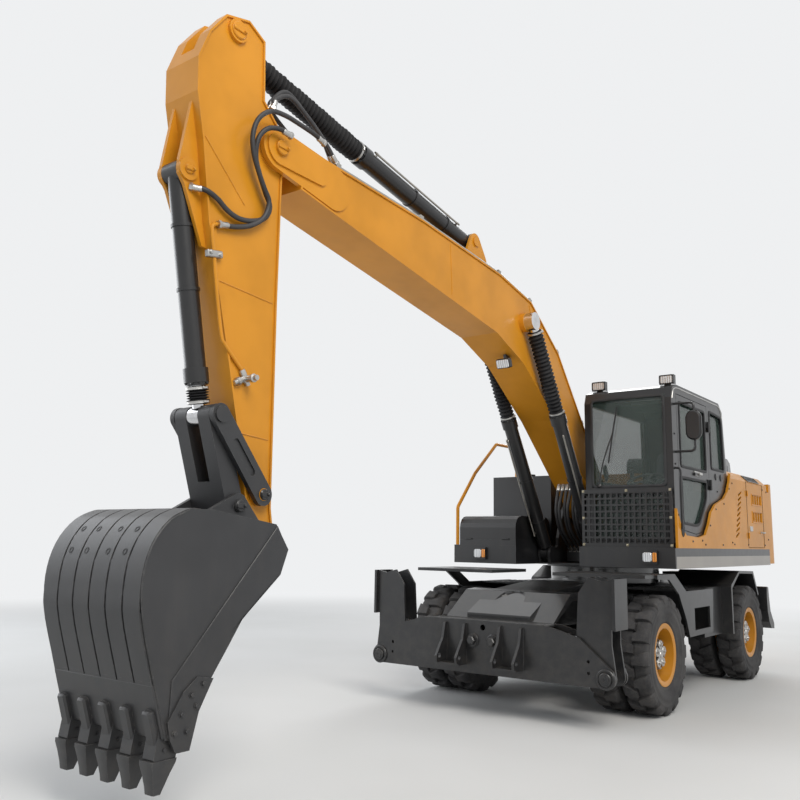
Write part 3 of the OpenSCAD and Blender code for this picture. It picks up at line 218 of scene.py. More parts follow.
def lathe(profile: Sequence[Sequence[float]], steps: int = 32) -> Form:
    """A profile of (radius, height) turned round Z: (r cos t, r sin t, h), t over a full turn.

    Args:
        profile: points from the bottom of the outside upwards; a closed run repeats its first point.
        steps: faces round the turn.

    Returns:
        The turned form, with the ends closed to the axis where their radius is zero.
    """
    r, h = np.asarray(profile, float).T
    t = np.linspace(0, 2 * np.pi, steps, endpoint=False)[:, None]
    points = np.stack([np.maximum(r, 1e-5) * np.cos(t), np.maximum(r, 1e-5) * np.sin(t), h + 0 * t], -1)
    return grid(points, wrap_u=True)


def smooth_path(corners: Sequence[Sequence[float]], per_span: int = 8) -> Array:
    """A smooth curve through points by Catmull-Rom: each span blends four neighbours with cubic weights.

    Args:
        corners: the points that the curve passes through.
        per_span: points made for each span.

    Returns:
        The points of the curve, (n, 3).
    """
    p = np.asarray(corners, float)
    p = np.vstack([2 * p[0] - p[1], p, 2 * p[-1] - p[-2]])
    t = np.linspace(0, 1, per_span, endpoint=False)[None, :, None]
    a, b, c, d = (p[k:len(p) - 3 + k, None] for k in range(4))
    curve = 0.5 * (2 * b + (c - a) * t + (2 * a - 5 * b + 4 * c - d) * t**2 + (3 * b - a - 3 * c + d) * t**3)
    return np.vstack([curve.reshape(-1, 3), p[-2]])


def carry(path: Array, section: Array, scale: Array | None = None, closed: bool = True,
          up: Sequence[float] = (1, 0, 0)) -> Form:
    """A flat section carried along a path: p(s) + scale(s) (x N(s) + y B(s)), N held close to up.

    Args:
        path: the points of the path, (n, 3).
        section: the section's points (m, 2), anticlockwise seen against the path's direction.
        scale: a size for the section at each point of the path.
        closed: whether the section is a closed loop, which also gets end caps.
        up: the direction that the section's first axis leans to.

    Returns:
        The swept form.
    """
    path = np.asarray(path, float)
    along = unit(np.gradient(path, axis=0))
    first = np.asarray(up, float) - (along @ np.asarray(up, float))[:, None] * along
    weak = np.linalg.norm(first, axis=1) < 0.15
    if weak.any():
        other = np.array([0.0, 1.0, 0.3])
        first = other - (along @ other)[:, None] * along
    n = unit(first)
    b = np.cross(along, n)
    k = np.ones(len(path)) if scale is None else np.asarray(scale, float)
    across = section[None, :, :1] * n[:, None] + section[None, :, 1:] * b[:, None]
    points = path[:, None] + k[:, None, None] * across
    body = grid(points, wrap_v=closed)
    if not closed:
        return body
    return Form.sum([body.flipped(), fan(points[0], -along[0]), fan(points[-1], along[-1])])


def circle(radius: float, sides: int) -> Array:
    """Points of a circle: (r cos t, r sin t)."""
    t = np.linspace(0, 2 * np.pi, sides, endpoint=False)
    return np.stack([radius * np.cos(t), radius * np.sin(t)], -1)


def rope(corners: Sequence[Sequence[float]], radius: float, sides: int = 12, per_span: int = 8) -> Form:
    """A round hose or tube along a smooth curve through the corners."""
    return carry(smooth_path(corners, per_span), circle(radius, sides))


def slab(outline: Sequence[Sequence[float]], depth: float, bevel: float = 0.0) -> Form:
    """A flat plate: an outline (x, y), anticlockwise, from z = 0 to depth, its top edge bevelled inwards.

    The rings are outline + n t at height h, with n the mean of the two neighbouring inward normals.
    """
    p = np.asarray(outline, float)
    before, after = unit(p - np.roll(p, 1, 0)), unit(np.roll(p, -1, 0) - p)
    inward = np.stack([-(before + after)[:, 1], (before + after)[:, 0]],
                      -1) / (1 + (before * after).sum(1))[:, None]
    steps = [(0.0, 0.0), (0.0, depth)] if bevel <= 0 else [(0.0, 0.0), (0.0, depth - bevel), (bevel, depth)]
    rings = np.stack([np.column_stack([p + inward * t, np.full(len(p), h)]) for t, h in steps])
    body = grid(rings, wrap_v=True).flipped()
    return Form.sum([body, fan(rings[0], (0, 0, -1)), fan(rings[-1], (0, 0, 1))])


def rounded(width: float, height: float, radius: float, steps: int = 4) -> Array:
    """An anticlockwise rectangle about the middle with its corners rounded by quarter circles."""
    t = np.linspace(0, np.pi / 2, steps + 1)
    parts = []
    for k, (sx, sy) in enumerate(((1, 1), (-1, 1), (-1, -1), (1, -1))):
        a = t + k * np.pi / 2
        corner = np.array([sx * (width / 2 - radius), sy * (height / 2 - radius)])
        parts.append(corner + radius * np.stack([np.cos(a), np.sin(a)], -1))
    return np.concatenate(parts)


def hex_bolt(size: float, height: float) -> Form:
    """A hexagon head with a bevelled top on a round washer, standing on z = 0."""
    head = slab(circle(size, 6), height, 0.18 * size).moved((0, 0, 0.12 * height))
    return Form.sum([lathe([(0, 0.25 * height), (1.3 * size, 0.25 * height), (1.35 * size, 0.0)],
                           14).flipped(), head])


# Finishes

class Num:
    """A number in a shader: wraps a socket, and Python's operators add Math nodes to it."""

    def __init__(self, shader: "Shader", value: Any) -> None:
        """Keeps the shader that new nodes go into, and the socket or plain value."""
        self.shader, self.value = shader, value

    def _math(self, operation: str, *others: Any) -> "Num":
        """Adds one Math node over this number and the others, and returns its result."""
        values = {k: v for k, v in enumerate((self, *others))}
        return self.shader.num("ShaderNodeMath", {"operation": operation}, values)

    def __add__(self, other: Any) -> "Num":
        """self + other."""
        return self._math("ADD", other)

    __radd__ = __add__

    def __sub__(self, other: Any) -> "Num":
        """self - other."""
        return self._math("SUBTRACT", other)

    def __rsub__(self, other: Any) -> "Num":
        """other - self."""
        return Num(self.shader, other)._math("SUBTRACT", self)

    def __mul__(self, other: Any) -> "Num":
        """self × other."""
        return self._math("MULTIPLY", other)

    __rmul__ = __mul__

    def __pow__(self, other: Any) -> "Num":
        """self to the power other."""
        return self._math("POWER", other)

    def step(self, low: float, high: float) -> "Num":
        """0 below low, 1 above high, smooth between; turned round when low is above high."""
        ends = {1: min(low, high), 2: max(low, high), 3: float(low > high), 4: float(low <= high)}
        return self.shader.num("ShaderNodeMapRange", {"interpolation_type": "SMOOTHSTEP"}, {0: self, **ends})


class Shader:
    """One procedural material on object coordinates, made node by node."""

    def __init__(self, name: str) -> None:
        """Starts a material with a principled shader wired to its output."""
        self.material = bpy.data.materials.new(name)
        self.material.use_nodes = True
        self.tree = self.material.node_tree
        self.tree.nodes.clear()
        self.surface = self.node("ShaderNodeBsdfPrincipled")
        output = self.node("ShaderNodeOutputMaterial")
        self.tree.links.new(self.surface.outputs[0], output.inputs[0])
        self.coords = self.node("ShaderNodeTexCoord")
        self.place = self.coords.outputs["Object"]

    def node(self, kind: str, settings: dict[str, Any] | None = None,
             values: dict[Any, Any] | None = None) -> bpy.types.Node:
        """Adds a node.

        Args:
            kind: the node's type.
            settings: its properties, which are set first.
            values: a value or a link for each named or numbered socket.

        Returns:
            The node.
        """
        made = self.tree.nodes.new(kind)
        for key, value in (settings or {}).items():
            setattr(made, key, value)
        for key, value in (values or {}).items():
            value = value.value if isinstance(value, Num) else value
            if isinstance(value, bpy.types.NodeSocket):
                self.tree.links.new(value, made.inputs[key])
            else:
                made.inputs[key].default_value = value
        return made

    def num(self, kind: str, settings: dict[str, Any] | None = None, values: dict[Any, Any] | None = None,
            out: Any = 0) -> Num:
        """Adds a node and returns one of its outputs as a number."""
        return Num(self, self.node(kind, settings, values).outputs[out])

    def axes(self) -> tuple[Num, Num, Num]:
        """The object coordinates x, y and z, counted from the slewing axis at ground level."""
        parts = self.node("ShaderNodeSeparateXYZ", None, {0: self.place})
        x, y, z = (Num(self, parts.outputs[k]) for k in range(3))
        return x - float(SLEW[0]), y - float(SLEW[1]), z

    def noise(self, scale: float, detail: float = 3.0, stretch: Sequence[float] = (1, 1, 1),
              rough: float = 0.55) -> Num:
        """Fractal noise of the object coordinates, its scale in cycles a metre along each stretched axis."""
        spot = self.node("ShaderNodeMapping", None, {0: self.place, "Scale": stretch}).outputs[0]
        values = {"Vector": spot, "Scale": scale, "Detail": detail, "Roughness": rough}
        return self.num("ShaderNodeTexNoise", None, values)

    def edges(self, radius: float = 0.006) -> Num:
        """How near a point is to an edge: 1 - |N_bevel . N|, zero on flats."""
        soft = self.node("ShaderNodeBevel", {"samples": 4}, {"Radius": radius}).outputs[0]
        hard = self.node("ShaderNodeNewGeometry").outputs["Normal"]
        return 1.0 - self.num("ShaderNodeVectorMath", {"operation": "DOT_PRODUCT"}, {0: soft, 1: hard},
                              "Value")

    def upward(self) -> Num:
        """How far a face looks up: the z of its object-space normal."""
        parts = self.node("ShaderNodeSeparateXYZ", None, {0: self.coords.outputs["Normal"]})
        return Num(self, parts.outputs[2])

    def mix(self, first: Any, second: Any, mask: Any) -> bpy.types.NodeSocket:
        """A colour from first to second as the mask goes from 0 to 1."""
        rgba = [(*c, 1.0) if isinstance(c, tuple) else c for c in (first, second)]
        made = self.node("ShaderNodeMix", {"data_type": "RGBA"}, {0: mask, 6: rgba[0], 7: rgba[1]})
        return made.outputs[2]

    def blend(self, first: Any, second: Any, mask: Num) -> Num:
        """A number from first to second as the mask goes from 0 to 1: a + (b - a) m."""
        return mask * (second - first) + first

    def bump(self, height: Num, strength: float, distance: float) -> bpy.types.NodeSocket:
        """A bump of the height over the distance, feeding the surface's normal."""
        sockets = {"Strength": strength, "Distance": distance, "Height": height}
        made = self.node("ShaderNodeBump", None, sockets)
        self.tree.links.new(made.outputs[0], self.surface.inputs["Normal"])
        return made.outputs[0]

    def set(self, **sockets: Any) -> bpy.types.Material:
        """Sets or links sockets of the surface; an underscore in a name stands for a space."""
        for name, value in sockets.items():
            socket = self.surface.inputs[name.replace("_", " ")]
            value = value.value if isinstance(value, Num) else value
            if isinstance(value, bpy.types.NodeSocket):
                self.tree.links.new(value, socket)
            else:
                colour = isinstance(value, tuple) and len(value) == 3
                socket.default_value = (*value, 1.0) if colour else value
        return self.material


Colour = tuple[float, float, float]


@dataclass(frozen=True)
class Zone:
    """A part of a node with its own colour, bounded by a box or by a ring round an axle.

    Args:
        colour: its colour.
        rough: its roughness.
        metal: how metallic it is.
        low: lowest corner from the slewing axis, or None.
        high: highest corner.
        axle: (y, z) of a line along X; low and high then hold (radius, |x|) limits.
    """

    colour: Colour
    rough: float = 0.45
    metal: float = 0.0
    low: tuple[float, ...] = (-9.0, -9.0, -9.0)
    high: tuple[float, ...] = (9.0, 9.0, 9.0)
    axle: tuple[float, float] | None = None

    def mask(self, shader: Shader) -> Num:
        """1 inside the zone and 0 outside: a product of steps 2 mm wide."""
        x, y, z = shader.axes()
        if self.axle is not None:
            radius = ((y - self.axle[0]) ** 2.0 + (z - self.axle[1]) ** 2.0) ** 0.5
            parts = [radius, x._math("ABSOLUTE")]
        else:
            parts = [x, y, z]
        result: Num | None = None
        for part, low, high in zip(parts, self.low, self.high):
            edges = [(low - 0.001, low + 0.001)] * (low > -8) + [(high + 0.001, high - 0.001)] * (high < 8)
            for edge in edges:
                step = part.step(*edge)
                result = step if result is None else result * step
        return result if result is not None else Num(shader, 1.0)


@dataclass(frozen=True)
class Paint:
    """Machine paint: an even coat with slow shifts of tone, fine peel, dust low down, and edges made lighter,
    partly as rubbed wear and partly as a painted highlight.

    Args:
        colour: the coat.
        rough: its roughness.
        dust: how much dust lies on ledges and near the ground.
        rub: how far edges are made lighter, as rubbed wear and as a painted edge highlight.
        rub_and_highlight_colour: the lighter colour on an edge, part rubbed wear and part painted highlight.
        zones: places with another colour.
        mottle: depth of the slow shifts of tone.
        grain: strength of the bump.
        grain_scale: cycles a metre of the bump.
        coat: weight of the clear layer.
        gloss: specular level.
    """

    colour: Colour
    rough: float = 0.34
    dust: float = 0.35
    rub: float = 0.5
    rub_and_highlight_colour: Colour = (0.30, 0.29, 0.27)
    zones: tuple[Zone, ...] = ()
    mottle: float = 0.10
    grain: float = 0.05
    grain_scale: float = 150.0
    coat: float = 0.15
    gloss: float = 0.5

    def make(self, name: str) -> bpy.types.Material:
        """Builds the paint's nodes."""
        s = Shader(name)
        slow, fine = s.noise(1.7, 3.0), s.noise(14.0, 5.0, rough=0.65)
        dark = tuple(c * (1 - self.mottle) for c in self.colour)
        pale = tuple(min(1.0, c * (1 + 0.8 * self.mottle) + 0.004) for c in self.colour)
        colour = s.mix(dark, pale, slow.step(0.3, 0.7))
        rough = (fine - 0.5) * 0.12 + self.rough
        metal: Any = 0.0
        for zone in self.zones:
            mask = zone.mask(s)
            tone = tuple(c * 0.9 for c in zone.colour)
            colour = s.mix(colour, s.mix(tone, zone.colour, slow.step(0.3, 0.7)), mask)
            rough = s.blend(rough, zone.rough, mask)
            metal = s.blend(metal, zone.metal, mask)
        _, _, z = s.axes()
        streak = s.noise(5.0, 4.0, stretch=(1.6, 1.6, 0.28)).step(0.48, 0.78)
        ledge = s.upward().step(0.35, 0.95) * fine.step(0.25, 0.75)
        low = z.step(1.5, 0.1)
        dust = (ledge * 0.55 + streak * 0.22 + low * fine.step(0.3, 0.8) * 0.6) * self.dust
        colour = s.mix(colour, (0.36, 0.31, 0.25), dust)
        rough = rough + dust * 0.35
        if self.rub > 0:
            # Edges made lighter: partly rubbed wear, partly a painted highlight along the edges.
            worn = s.edges().step(0.03, 0.30) * s.noise(26.0, 4.0).step(0.42, 0.66) * self.rub
            colour = s.mix(colour, self.rub_and_highlight_colour, worn)
            rough = rough + worn * 0.1
        s.bump(s.noise(self.grain_scale, 2.0), self.grain, 0.002)
        return s.set(Base_Color=colour, Roughness=rough, Metallic=metal, Coat_Weight=self.coat,
                     Coat_Roughness=0.12, Specular_IOR_Level=self.gloss)


@dataclass(frozen=True)
class Rubber:
    """Rubber or hose skin: dark and matt, greyed by dust in noisy patches."""

    colour: Colour = (0.022, 0.022, 0.024)
    dust: float = 0.5
    dust_colour: Colour = (0.20, 0.175, 0.145)
    rough: float = 0.72
    gloss: float = 0.5

    def make(self, name: str) -> bpy.types.Material:
        """Builds the rubber's nodes."""
        s = Shader(name)
        slow, fine = s.noise(3.0, 4.0), s.noise(38.0, 5.0, rough=0.7)
        colour = s.mix(self.colour, tuple(1.9 * c + 0.006 for c in self.colour), slow.step(0.35, 0.7))
        dusty = (fine.step(0.35, 0.75) * 0.6 + slow.step(0.4, 0.75) * 0.4) * self.dust
        colour = s.mix(colour, self.dust_colour, dusty)
        s.bump(s.noise(320.0, 3.0), 0.12, 0.001)
        rough = fine * 0.18 + (self.rough - 0.06)
        return s.set(Base_Color=colour, Roughness=rough, Specular_IOR_Level=self.gloss)


@dataclass(frozen=True)
class Metal:
    """Bare or plated metal with drawn marks along one axis."""

    colour: Colour = (0.62, 0.62, 0.63)
    rough: float = 0.28
    metal: float = 1.0
    drawn: tuple[float, float, float] = (1.0, 1.0, 1.0)

    def make(self, name: str) -> bpy.types.Material:
        """Builds the metal's nodes."""
        s = Shader(name)
        marks, slow = s.noise(90.0, 4.0, stretch=self.drawn), s.noise(6.0, 3.0)
        colour = s.mix(tuple(0.78 * c for c in self.colour), self.colour, slow.step(0.3, 0.65))
        s.bump(marks, 0.05, 0.0006)
        return s.set(Base_Color=colour, Metallic=self.metal,
                     Roughness=marks * 0.16 + slow * 0.1 + (self.rough - 0.12))


@dataclass(frozen=True)
class Pane:
    """Tinted glass that lets the light straight through and mirrors more at a flat angle."""

    colour: Colour = (0.050, 0.075, 0.064)
    cover: float = 0.26

    def make(self, name: str) -> bpy.types.Material:
        """Builds the pane's nodes."""
        s = Shader(name)
        facing = s.num("ShaderNodeLayerWeight", None, {"Blend": 0.35}, "Facing")
        haze = s.noise(2.2, 3.0).step(0.35, 0.8)
        s.material.surface_render_method = "BLENDED"
        tint = s.mix(self.colour, tuple(1.5 * c for c in self.colour), haze)
        return s.set(Base_Color=tint, Roughness=haze * 0.03 + 0.03, Alpha=facing * 0.4 + self.cover,
                     Specular_IOR_Level=0.9)


@dataclass(frozen=True)
class Cloth:
    """Woven seat cloth: two crossed waves over a dark base."""

    colour: Colour = (0.05, 0.052, 0.06)
    threads: float = 420.0

    def make(self, name: str) -> bpy.types.Material:
        """Builds the cloth's nodes."""
        s = Shader(name)
        waves = [s.num("ShaderNodeTexWave", {"bands_direction": d},
                       {"Vector": s.place, "Scale": self.threads / 6.3}) for d in "XZ"]
        weave = waves[0] * waves[1]
        colour = s.mix(self.colour, tuple(2.4 * c for c in self.colour), weave * s.noise(9.0).step(0.2, 0.8))
        s.bump(weave, 0.3, 0.001)
        return s.set(Base_Color=colour, Roughness=0.92)


@dataclass(frozen=True)
class Lens:
    """A ribbed lamp lens, clear or coloured, over a bright reflector."""

    colour: Colour = (0.80, 0.82, 0.84)

    def make(self, name: str) -> bpy.types.Material:
        """Builds the lens's nodes."""
        s = Shader(name)
        ribs = s.num("ShaderNodeTexWave", {"bands_direction": "X"}, {"Vector": s.place, "Scale": 14.0})
        s.bump(ribs, 0.5, 0.004)
        colour = s.mix(tuple(0.55 * c for c in self.colour), self.colour, ribs)
        return s.set(Base_Color=colour, Roughness=0.12, Metallic=0.35, Coat_Weight=1.0, Coat_Roughness=0.03)


# Studio

@dataclass
class Studio:
    """Pale floor, soft lamps and the camera at the photograph's angle.

    Args:
        pale: the floor's and the background's colour.
        far: where the floor has faded into the background, in metres from the middle.
    """

    pale: Colour = (0.86, 0.87, 0.88)
    far: float = 17.0

    def floor(self) -> None:
        """A wide floor that turns into the plain background far out, by its distance from the middle."""
        s = Shader("studio_floor")
        radius = s.num("ShaderNodeVectorMath", {"operation": "LENGTH"}, {0: s.place}, "Value")
        fade = radius.step(9.0, self.far)
        glow = s.node("ShaderNodeEmission", None, {"Color": (*self.pale, 1.0), "Strength": 1.0})
        both = s.node("ShaderNodeMixShader", None, {0: fade, 1: s.surface.outputs[0], 2: glow.outputs[0]})
        output = next(n for n in s.tree.nodes if n.type == "OUTPUT_MATERIAL")
        s.tree.links.new(both.outputs[0], output.inputs[0])
        tone = s.noise(0.5, 2.0).step(0.2, 0.8)
        s.set(Base_Color=s.mix((0.70, 0.70, 0.69), (0.74, 0.74, 0.735), tone), Roughness=0.75)
        points = np.array([[[-60, -60, 0], [-60, 60, 0]], [[60, -60, 0], [60, 60, 0]]], float)
        grid(points).moved(-SLEW).piece("studio_floor", s.material)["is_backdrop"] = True

    def world(self) -> None:
        """An even sky: white to the camera and in mirrors, softer as light."""
        world = bpy.data.worlds.new("studio")
        bpy.context.scene.world = world
        world.use_nodes = True
        nodes, links = world.node_tree.nodes, world.node_tree.links
        nodes.clear()
        path = nodes.new("ShaderNodeLightPath")
        seen = nodes.new("ShaderNodeMath")
        seen.operation = "MAXIMUM"
        links.new(path.outputs["Is Camera Ray"], seen.inputs[0])
        mirrored = nodes.new("ShaderNodeMath")
        mirrored.operation = "MAXIMUM"
        links.new(path.outputs["Is Glossy Ray"], mirrored.inputs[0])
        links.new(path.outputs["Is Transmission Ray"], mirrored.inputs[1])
        links.new(mirrored.outputs[0], seen.inputs[1])
        light, shown = nodes.new("ShaderNodeBackground"), nodes.new("ShaderNodeBackground")
        mixed = nodes.new("ShaderNodeMixShader")
        light.inputs[0].default_value, light.inputs[1].default_value = (0.90, 0.95, 1.0, 1.0), 0.40
        shown.inputs[0].default_value, shown.inputs[1].default_value = (*self.pale, 1.0), 1.0
        links.new(seen.outputs[0], mixed.inputs[0])
        links.new(light.outputs[0], mixed.inputs[1])
        links.new(shown.outputs[0], mixed.inputs[2])
        links.new(mixed.outputs[0], nodes.new("ShaderNodeOutputWorld").inputs[0])

    def lamp(self, name: str, place: Array, aim: Array, size: float, watts: float,
             tint: Colour = (1, 1, 1)) -> None:
        """A square area lamp at a place, looking at aim."""
        data = bpy.data.lights.new(name, "AREA")
        data.energy, data.size, data.color = watts, size, tint
        lamp = bpy.data.objects.new(name, data)
        bpy.context.scene.collection.objects.link(lamp)
        back = unit(place - aim)
        side = unit(np.cross([0, 0, 1], back))
        rows = np.eye(4)
        rows[:3, 0], rows[:3, 1], rows[:3, 2], rows[:3, 3] = side, np.cross(back, side), back, place
        lamp.matrix_world = Matrix(rows.tolist())

    def camera(self) -> None:
        """The camera, with its place, turn and lens fitted to the photograph."""
        yaw, pitch, roll = 0.6473, 0.1672, 0.0158
        ahead = np.array([-math.sin(yaw) * math.cos(pitch), math.cos(yaw) * math.cos(pitch), math.sin(pitch)])
        right = unit(np.cross(ahead, [0, 0, 1]))
        up = np.cross(right, ahead)
        rows = np.eye(4)
        rows[:3, 0] = right * math.cos(roll) + up * math.sin(roll)
        rows[:3, 1] = -right * math.sin(roll) + up * math.cos(roll)
        rows[:3, 2], rows[:3, 3] = -ahead, here(4.041, -9.276, 1.494)
        data = bpy.data.cameras.new("camera")
        data.sensor_width, data.lens, data.clip_end = 36.0, 843.33 * 36.0 / 800.0, 200.0
        camera = bpy.data.objects.new("camera", data)
        bpy.context.scene.collection.objects.link(camera)
        camera.matrix_world = Matrix(rows.tolist())
        bpy.context.scene.camera = camera

    def build(self) -> None:
        """Makes the floor, the sky, three lamps and the camera."""
        self.floor()
        self.world()
        middle = here(0, -1.5, 1.8)
        self.lamp("key", here(9, -9, 11), middle, 7.0, 1350, (1.0, 0.965, 0.91))
        self.lamp("fill", here(-11, -7, 6), middle, 9.0, 620, (0.93, 0.96, 1.0))
        self.lamp("back", here(-4, 12, 9), middle, 8.0, 800)
        self.camera()
        bpy.context.scene.view_settings.view_transform = "Standard"


# Nodes

@dataclass
class Livery:
    """The finishes of the machine, and which of them every carried-over node wears.

    Args:
        amber: the main paint.
        coal: the dark satin paint of the undercarriage.
        black: the paint of the cab, the guards and the cylinders.
    """

    amber: Colour = (0.600, 0.246, 0.012)
    coal: Colour = (0.011, 0.0115, 0.013)
    black: Colour = (0.0085, 0.0085, 0.0095)

    def finishes(self) -> dict[str, Any]:
        """Every finish by name, as its frozen description."""
        rings = (Zone((0.020, 0.020, 0.022), 0.5, 0.0, (-9, -9), (0.1805, 9)),
                 Zone((0.020, 0.020, 0.022), 0.5, 0.0, (-9, -9), (0.200, 0.985)))
        rims = {f"rim_{name}": Paint(self.amber, 0.40, 0.10, 0.25,
                                     zones=tuple(replace(zone, axle=(y, AXLE_Z)) for zone in rings))
                for name, y in (("front", FRONT_Y), ("rear", REAR_Y))}
        skirt = Zone((0.30, 0.275, 0.245), 0.38, 0.0, (1.2405, -1.19, 1.26), (9, 9, 1.400))
        skirt_right = Zone(skirt.colour, skirt.rough, 0.0, (-9, -1.19, 1.26), (-1.2405, 9, 1.400))
        return rims | {
            # The fifth value of each paint is its edge colour: part rubbed wear, part painted edge highlight.
            "amber_paint": Paint(self.amber, 0.36, 0.05, 0.20, (0.40, 0.30, 0.16), coat=0.05, gloss=0.30),
            "amber_arm": Paint(self.amber, 0.36, 0.05, 0.30, (0.40, 0.30, 0.16), coat=0.06, gloss=0.35),
            "coal_paint": Paint(self.coal, 0.38, 0.10, 0.55, (0.11, 0.107, 0.10), coat=0.20),
            "nose_paint": Paint(self.coal, 0.20, 0.08, 0.50, (0.11, 0.107, 0.10), coat=0.8),
            "deck_paint": Paint(self.coal, 0.38, 0.10, 0.45, (0.11, 0.107, 0.10), (skirt, skirt_right),
                                coat=0.2),
            "black_paint": Paint(self.black, 0.34, 0.07, 0.40, (0.09, 0.09, 0.09), coat=0.22),
            "gloss_black": Paint(self.black, 0.18, 0.05, 0.30, (0.09, 0.09, 0.09), coat=0.7),
            "bucket_paint": Paint((0.030, 0.0305, 0.033), 0.46, 0.09, 0.80, (0.19, 0.185, 0.175), grain=0.12,
                                  grain_scale=90.0, coat=0.05),
            "rod_chrome": Metal((0.70, 0.70, 0.71), 0.16, 1.0, (1, 1, 0.15)),
            "pipe_steel": Metal((0.48, 0.46, 0.42), 0.34, 1.0, (1, 0.2, 0.2)),
            "tyre_rubber": Rubber((0.016, 0.016, 0.018), 0.34, (0.150, 0.135, 0.115)),
            "bellows_rubber": Rubber((0.008, 0.008, 0.009), 0.10, (0.09, 0.085, 0.08), 0.62, 0.22),
            "pane": Pane(),
            "moulded": Paint((0.055, 0.056, 0.060), 0.62, 0.05, 0.0, grain=0.12, grain_scale=420.0, coat=0.0),
            "hose": Rubber((0.016, 0.016, 0.018), 0.20, (0.13, 0.12, 0.11), 0.52),
            "seal": Rubber((0.012, 0.012, 0.013), 0.12, (0.10, 0.10, 0.10), 0.60),
            "clamp": Metal((0.56, 0.55, 0.53), 0.36),
            "zinc": Metal((0.42, 0.38, 0.28), 0.40),
            "mirror": Metal((0.86, 0.87, 0.88), 0.14),
            "weld": Paint(self.amber, 0.42, 0.30, 0.0, grain=0.9, grain_scale=70.0, coat=0.1),
            "lens": Lens(),
            "amber_lens": Lens((0.85, 0.30, 0.03)),
            "cloth": Cloth(),
            "cast_iron": Paint((0.12, 0.12, 0.12), 0.6, 0.6, 0.2, grain=0.4, grain_scale=240.0, coat=0.0),
        }

    def wardrobe(self) -> dict[str, str]:
        """The finish that each node wears, by the node's name."""
        worn = {
            "nose_paint": "chassis",
            "coal_paint": "stabiliser_beam front_axle rear_axle fenders knuckle_left knuckle_right leg_left "
                          "leg_right blade blade_arms blade_links tanks",
            "deck_paint": "deck",
            "black_paint": "leg_barrel_left leg_barrel_right blade_barrel lamps cab_shell cab_door "
                           "mesh_guard toolbox_lid boom_barrels arm_barrel bucket_barrel",
            "gloss_black": "engine_hood",
            "amber_paint": "counterweight bodywork side_door rails boom",
            "amber_arm": "arm",
            "bucket_paint": "bucket rocker link",
            "rod_chrome": "steering_rod leg_rod_left leg_rod_right blade_rod boom_rods arm_rod bucket_rod",
            "pipe_steel": "boom_pipes",
            "tyre_rubber": "tyres_front_left tyres_front_right tyres_rear_left tyres_rear_right",
            "bellows_rubber": "boom_bellows arm_bellows",
            "pane": "cab_glass door_glass",
            "moulded": "cab_interior",
            "cloth": "driver_cushion",
            "cast_iron": "engine",
            "rim_front": "rims_front_left rims_front_right",
            "rim_rear": "rims_rear_left rims_rear_right",
        }
        return {node: finish for finish, nodes in worn.items() for node in nodes.split()}

    def dress(self) -> dict[str, bpy.types.Material]:
        """Makes the materials and puts one on every node.

        Returns:
            The materials by finish name, for the pieces that follow.
        """
        made = {name: finish.make(name) for name, finish in self.finishes().items()}
        wardrobe = self.wardrobe()
        for node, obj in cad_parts.items():
            material = made[wardrobe[node]]
            for slot in obj.material_slots:
                slot.material = material
        log.info("dressed %d nodes in %d finishes", len(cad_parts), len(made))
        return made


# Pieces


@dataclass
class Assembly:
    """Pieces that are built and dressed together.

    Args:
        finishes: the materials, by finish name.
    """

    finishes: dict[str, bpy.types.Material]

    def add(self, name: str, form: Form, finish: str, body: str, stands_for: Sequence[str] = (),
            sharp: float = 35.0) -> bpy.types.Object:
        """Makes a piece that moves with one body.

        Args:
            name: the piece's name.
            form: its mesh.
            finish: the finish that it wears.
            body: the body that it rides on.
            stands_for: the nodes that it replaces.
            sharp: the fold in degrees from which an edge stays sharp.

        Returns:
            The piece.
        """
        piece = form.piece(name, self.finishes[finish], sharp)
        if stands_for:
            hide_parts(*stands_for)
        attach(piece, body)
        log.info("%s: %d faces on %s", name, len(piece.data.polygons), body)
        return piece

    def stretch(self, name: str, form: Form, finish: str, bodies: tuple[str, str], ends: tuple[Array, Array],
                stands_for: Sequence[str] = ()) -> bpy.types.Object:
        """Makes a piece that reaches between two bodies; it is tied to neither of them.

        Args:
            name: the piece's name.
            form: its mesh.
            finish: the finish that it wears.
            bodies: the body at its start and the body at its end.
            ends: two points along it; not used.
            stands_for: the nodes that it replaces.

        Returns:
            The piece.
        """
        piece = form.piece(name, self.finishes[finish])
        if stands_for:
            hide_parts(*stands_for)
        start, end = (tuple(float(v) for v in np.asarray(p) + SLEW) for p in ends)
        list(bodies)
        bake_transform(piece)
        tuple(start)
        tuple(end)
        log.info("%s: %d faces between %s and %s", name, len(piece.data.polygons), *bodies)
        return piece


